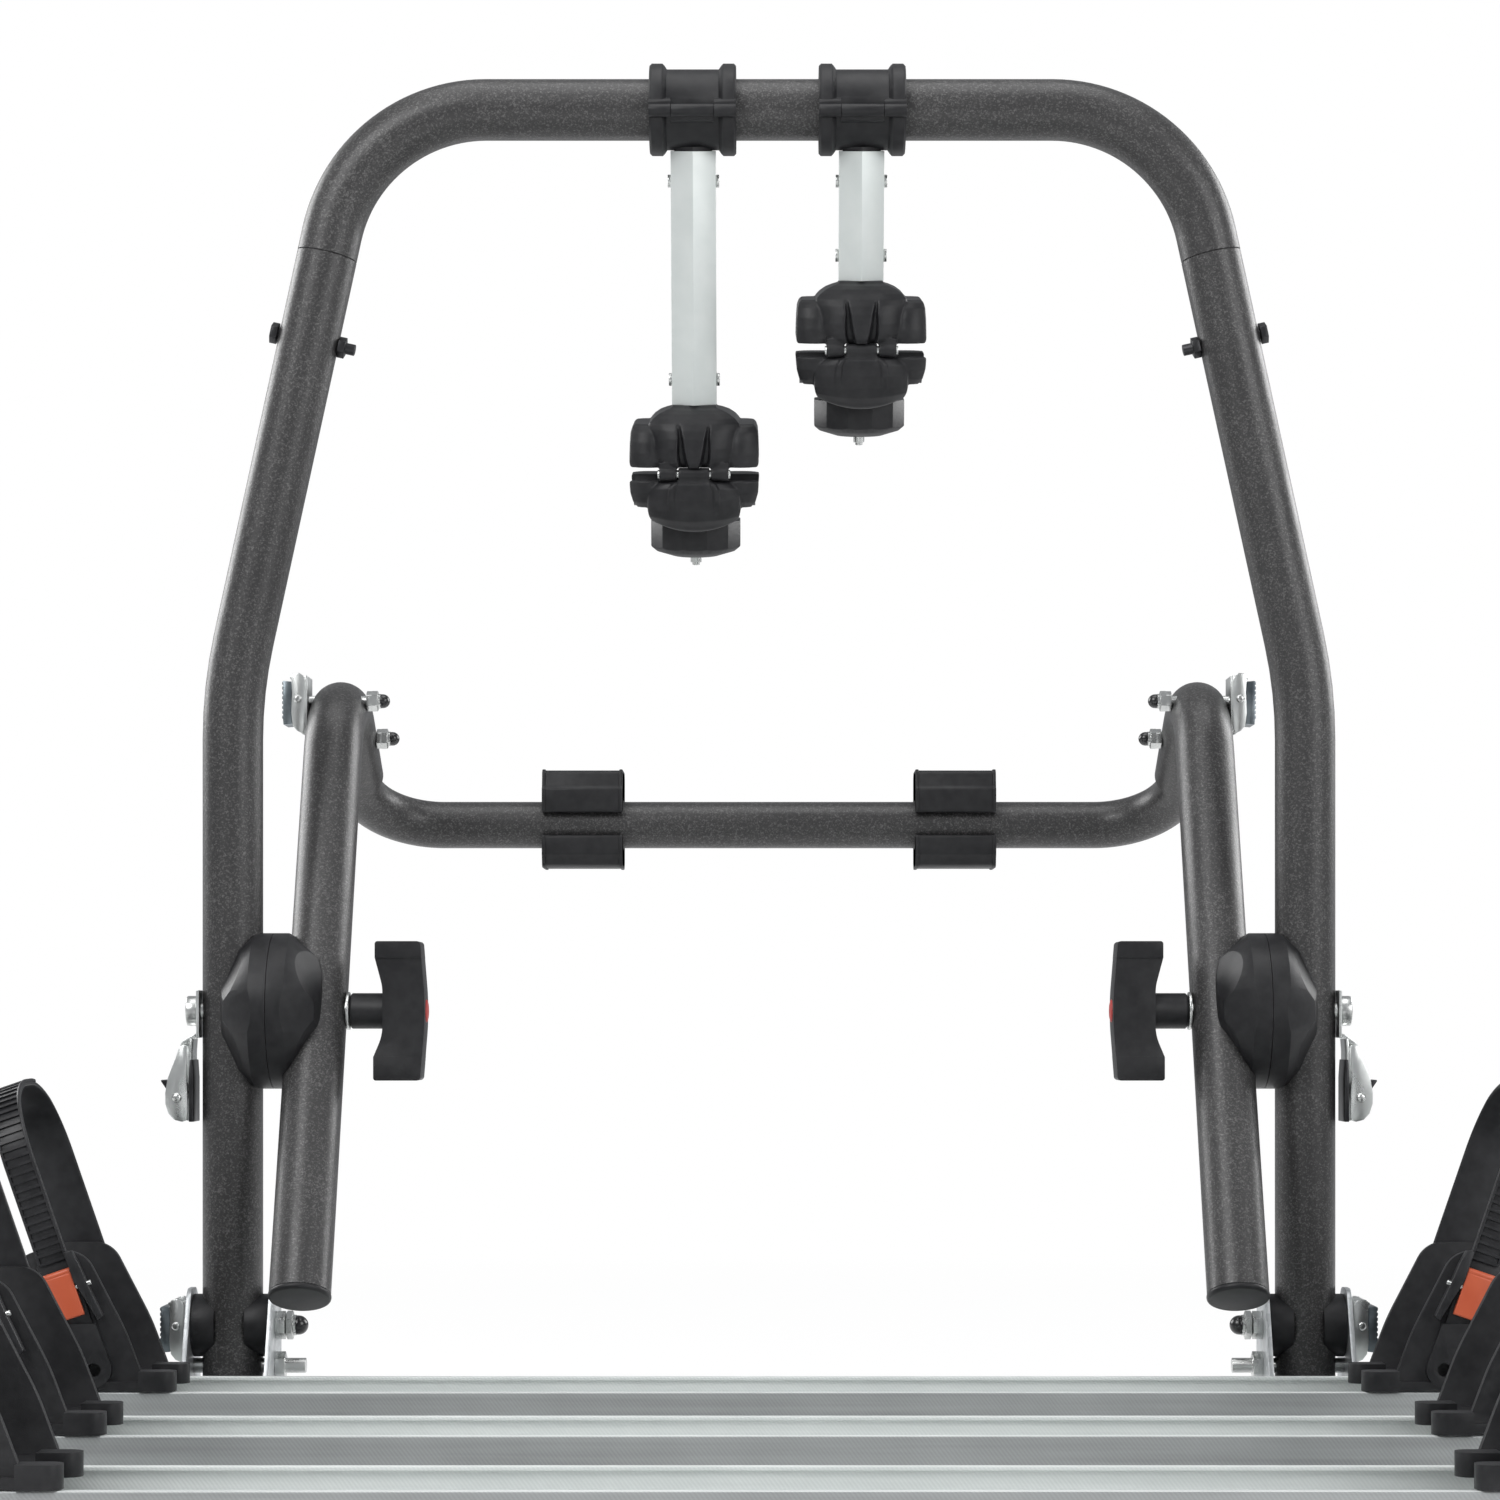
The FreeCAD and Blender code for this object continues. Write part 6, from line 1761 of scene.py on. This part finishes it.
@dataclass
class Hardware:
    """Bolts, saddles, bushes and caps on the hoop and the car-side frame."""

    shop: Workshop
    hinge: float = 0.090

    def dome(self, name: str, centre: Vector, axis: Vector, radius: float, body: str) -> None:
        """A moulded cap over a bolt's end.

        Args:
            name: the piece's name.
            centre: the bolt's end.
            axis: the way that the cap points.
            radius: the cap's radius.
            body: the body that it rides on.
        """
        stations = [(-0.0016, 0.9), (-0.0012, 1.0), (0.0, 1.0)]
        stations += [(radius * math.sin(math.radians(turn)), math.cos(math.radians(turn))) for turn in
                     (15, 30, 45, 60, 72, 82)]
        path = [centre + axis * along for along, _ in stations]
        mesh = sweep(path, Vector((0.0, 0.0, 1.0)), ring(radius, 32), [scale for _, scale in stations])
        self.shop.piece(name, mesh, "cap_black", body, 60.0, slot="black_moulding")
        nut = [(-0.0064, 0.88), (-0.0059, 1.0), (-0.0030, 1.0), (-0.0026, 0.9), (-0.0024, 0.72),
               (-0.0010, 0.70)]
        mesh = sweep([centre + axis * along for along, _ in nut], Vector((0.0, 0.0, 1.0)),
                     ring(radius * 1.48, 6), [scale for _, scale in nut])
        self.shop.piece(name + "_nut", mesh, "zinc_hardware", body, 25.0)

    def make(self, tubes: BentTubes) -> None:
        """Dress the hardware.

        Args:
            tubes: the bent tubes, whose places the caps follow.
        """
        for node, width in (("hoop_bolts", 0.0004), ("joint_bolts", 0.0005), ("arm_bolts", 0.0004),
                            ("hinge_bushes", 0.0009), ("arm_end_caps", 0.0006)):
            self.shop.soften(node, width)
        sleeve = tubes.back(tubes.arm_sleeve - 0.040)
        half = (math.pi / 2 + tubes.bar_drop - tubes.arm_lean) / 2
        heading = tubes.bar_drop + half
        crown = tubes.arm_corner() + Vector((0.0, math.cos(heading) * 0.01395, -math.sin(heading) * 0.0155))
        for word, side in SIDES.items():
            inward = Vector((-side, 0.0, 0.0))
            reach = Vector((side * (tubes.arm_x - TUBE_RADIUS - 0.009), 0.0, 0.0))
            self.dome(f"sleeve_bolt_cap_{word}", sleeve + reach, inward, 0.0039, "car_frame")
            self.dome(f"crown_bolt_cap_{word}", crown + reach, inward, 0.0039, "car_frame")
            hinge = at(side * (0.2859 - 0.0231 - 0.012), 0.0, self.hinge)
            self.dome(f"hinge_bolt_cap_{word}", hinge, inward, 0.0052, "platform")


@dataclass
class Studio:
    """The camera, lamps, floor and world."""

    lens: float = 90.0
    distance: float = 2.0
    height: float = 0.25

    def camera(self) -> None:
        """Stand the camera where the photograph was taken from."""
        data = bpy.data.cameras.new("photo_camera")
        data.lens = self.lens
        data.sensor_width = 36.0
        data.sensor_fit = "HORIZONTAL"
        data.shift_x = -19.0 / 1500.0
        data.shift_y = 275.0 / 1500.0
        camera = bpy.data.objects.new("photo_camera", data)
        camera.location = (0.0, SHIFT - self.distance, self.height)
        camera.rotation_euler = (math.radians(90.0), 0.0, 0.0)
        bpy.context.scene.collection.objects.link(camera)
        bpy.context.scene.camera = camera

    def lamp(self, name: str, place: Vector, target: Vector, size: float, power: float) -> None:
        """One soft square lamp aimed at a point.

        Args:
            name: the lamp's name.
            place: where it hangs.
            target: what it points at.
            size: the square's side.
            power: the power in watts.
        """
        data = bpy.data.lights.new(name, "AREA")
        data.shape = "SQUARE"
        data.size = size
        data.energy = power
        lamp = bpy.data.objects.new(name, data)
        lamp.location = place
        lamp.rotation_euler = (target - place).to_track_quat("-Z", "Y").to_euler()
        bpy.context.scene.collection.objects.link(lamp)

    def backdrop(self, name: str, colour: float) -> bpy.types.Material:
        """A pale matt surface that the camera sees as nearly white.

        Args:
            name: the material's name.
            colour: the surface's colour.

        Returns:
            The material, with its node tree built.
        """
        material = bpy.data.materials.new(name)
        material.use_nodes = True
        nodes, links = material.node_tree.nodes, material.node_tree.links
        matt = nodes["Principled BSDF"]
        matt.inputs["Base Color"].default_value = (colour, colour, colour, 1.0)
        matt.inputs["Roughness"].default_value = 0.9
        glow = nodes.new("ShaderNodeEmission")
        rays = nodes.new("ShaderNodeLightPath")
        place = nodes.new("ShaderNodeTexCoord")
        reach = nodes.new("ShaderNodeVectorMath")
        reach.operation = "LENGTH"
        fade = nodes.new("ShaderNodeMapRange")
        fade.inputs["From Min"].default_value = 0.7
        fade.inputs["From Max"].default_value = 2.2
        fade.inputs["To Min"].default_value = 0.84
        fade.inputs["To Max"].default_value = 1.0
        share = nodes.new("ShaderNodeMath")
        share.operation = "MULTIPLY"
        links.new(place.outputs["Object"], reach.inputs[0])
        links.new(reach.outputs["Value"], fade.inputs["Value"])
        links.new(fade.outputs["Result"], share.inputs[1])
        mix = nodes.new("ShaderNodeMixShader")
        output = nodes["Material Output"]
        links.new(rays.outputs["Is Camera Ray"], share.inputs[0])
        links.new(share.outputs[0], mix.inputs[0])
        links.new(matt.outputs[0], mix.inputs[1])
        links.new(glow.outputs[0], mix.inputs[2])
        links.new(mix.outputs[0], output.inputs["Surface"])
        return material

    def make(self) -> None:
        """Set up the view, the light and the floor."""
        self.camera()
        target = Vector((0.0, 0.0, 0.35))
        self.lamp("key", Vector((-1.5, -2.0, 2.2)), target, 1.6, 44.0)
        self.lamp("fill", Vector((1.9, -1.8, 1.3)), target, 1.6, 24.0)
        self.lamp("rim_left", Vector((-1.8, 1.2, 1.2)), target, 1.2, 26.0)
        self.lamp("rim_right", Vector((1.8, 1.2, 1.2)), target, 1.2, 26.0)
        self.lamp("top", Vector((0.0, -0.2, 2.6)), target, 1.8, 22.0)
        world = bpy.data.worlds.new("studio_world")
        bpy.context.scene.world = world
        world.use_nodes = True
        nodes, links = world.node_tree.nodes, world.node_tree.links
        dim = nodes["Background"]
        dim.inputs["Color"].default_value = (0.85, 0.87, 0.9, 1.0)
        dim.inputs["Strength"].default_value = 0.38
        white = nodes.new("ShaderNodeBackground")
        white.inputs["Color"].default_value = (1.0, 1.0, 1.0, 1.0)
        white.inputs["Strength"].default_value = 1.0
        rays = nodes.new("ShaderNodeLightPath")
        seen = nodes.new("ShaderNodeMath")
        seen.operation = "MAXIMUM"
        mix = nodes.new("ShaderNodeMixShader")
        links.new(rays.outputs["Is Camera Ray"], seen.inputs[0])
        links.new(rays.outputs["Is Transmission Ray"], seen.inputs[1])
        links.new(seen.outputs[0], mix.inputs[0])
        links.new(dim.outputs[0], mix.inputs[1])
        links.new(white.outputs[0], mix.inputs[2])
        links.new(mix.outputs[0], nodes["World Output"].inputs["Surface"])
        floor = bpy.data.meshes.new("studio_floor")
        floor.from_pydata([(-6, -6, -0.0005), (6, -6, -0.0005), (6, 6, -0.0005), (-6, 6, -0.0005)], [],
                          [(0, 1, 2, 3)])
        floor.materials.append(self.backdrop("pale_floor", 0.82))
        ground = bpy.data.objects.new("studio_floor", floor)
        bpy.context.scene.collection.objects.link(ground)
        bpy.context.scene.view_settings.view_transform = "Standard"


def plain(bounds: Sequence) -> list[list[float]]:
    """Two corners as plain lists of numbers."""
    return [[float(value) for value in corner] for corner in bounds]


def main() -> None:
    """Build the whole scene."""
    logging.basicConfig(level=logging.INFO, format="%(message)s")
    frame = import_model()
    Studio().make()
    shop = Workshop(frame, Finishes().build())
    tubes = BentTubes(shop)
    tubes.make()
    TiltJoints(shop).make()
    WheelCradles(shop).make()
    BikeArms(shop).make()
    Platform(shop).make()
    Hardware(shop).make(tubes)
    TailgatePads(shop, tubes).make()
    BoltedBuckles(shop).make()
    SideBuckles(shop).make()
    LOG.info("%d pieces made", len(shop.made))


if __name__ == "__main__":
    main()
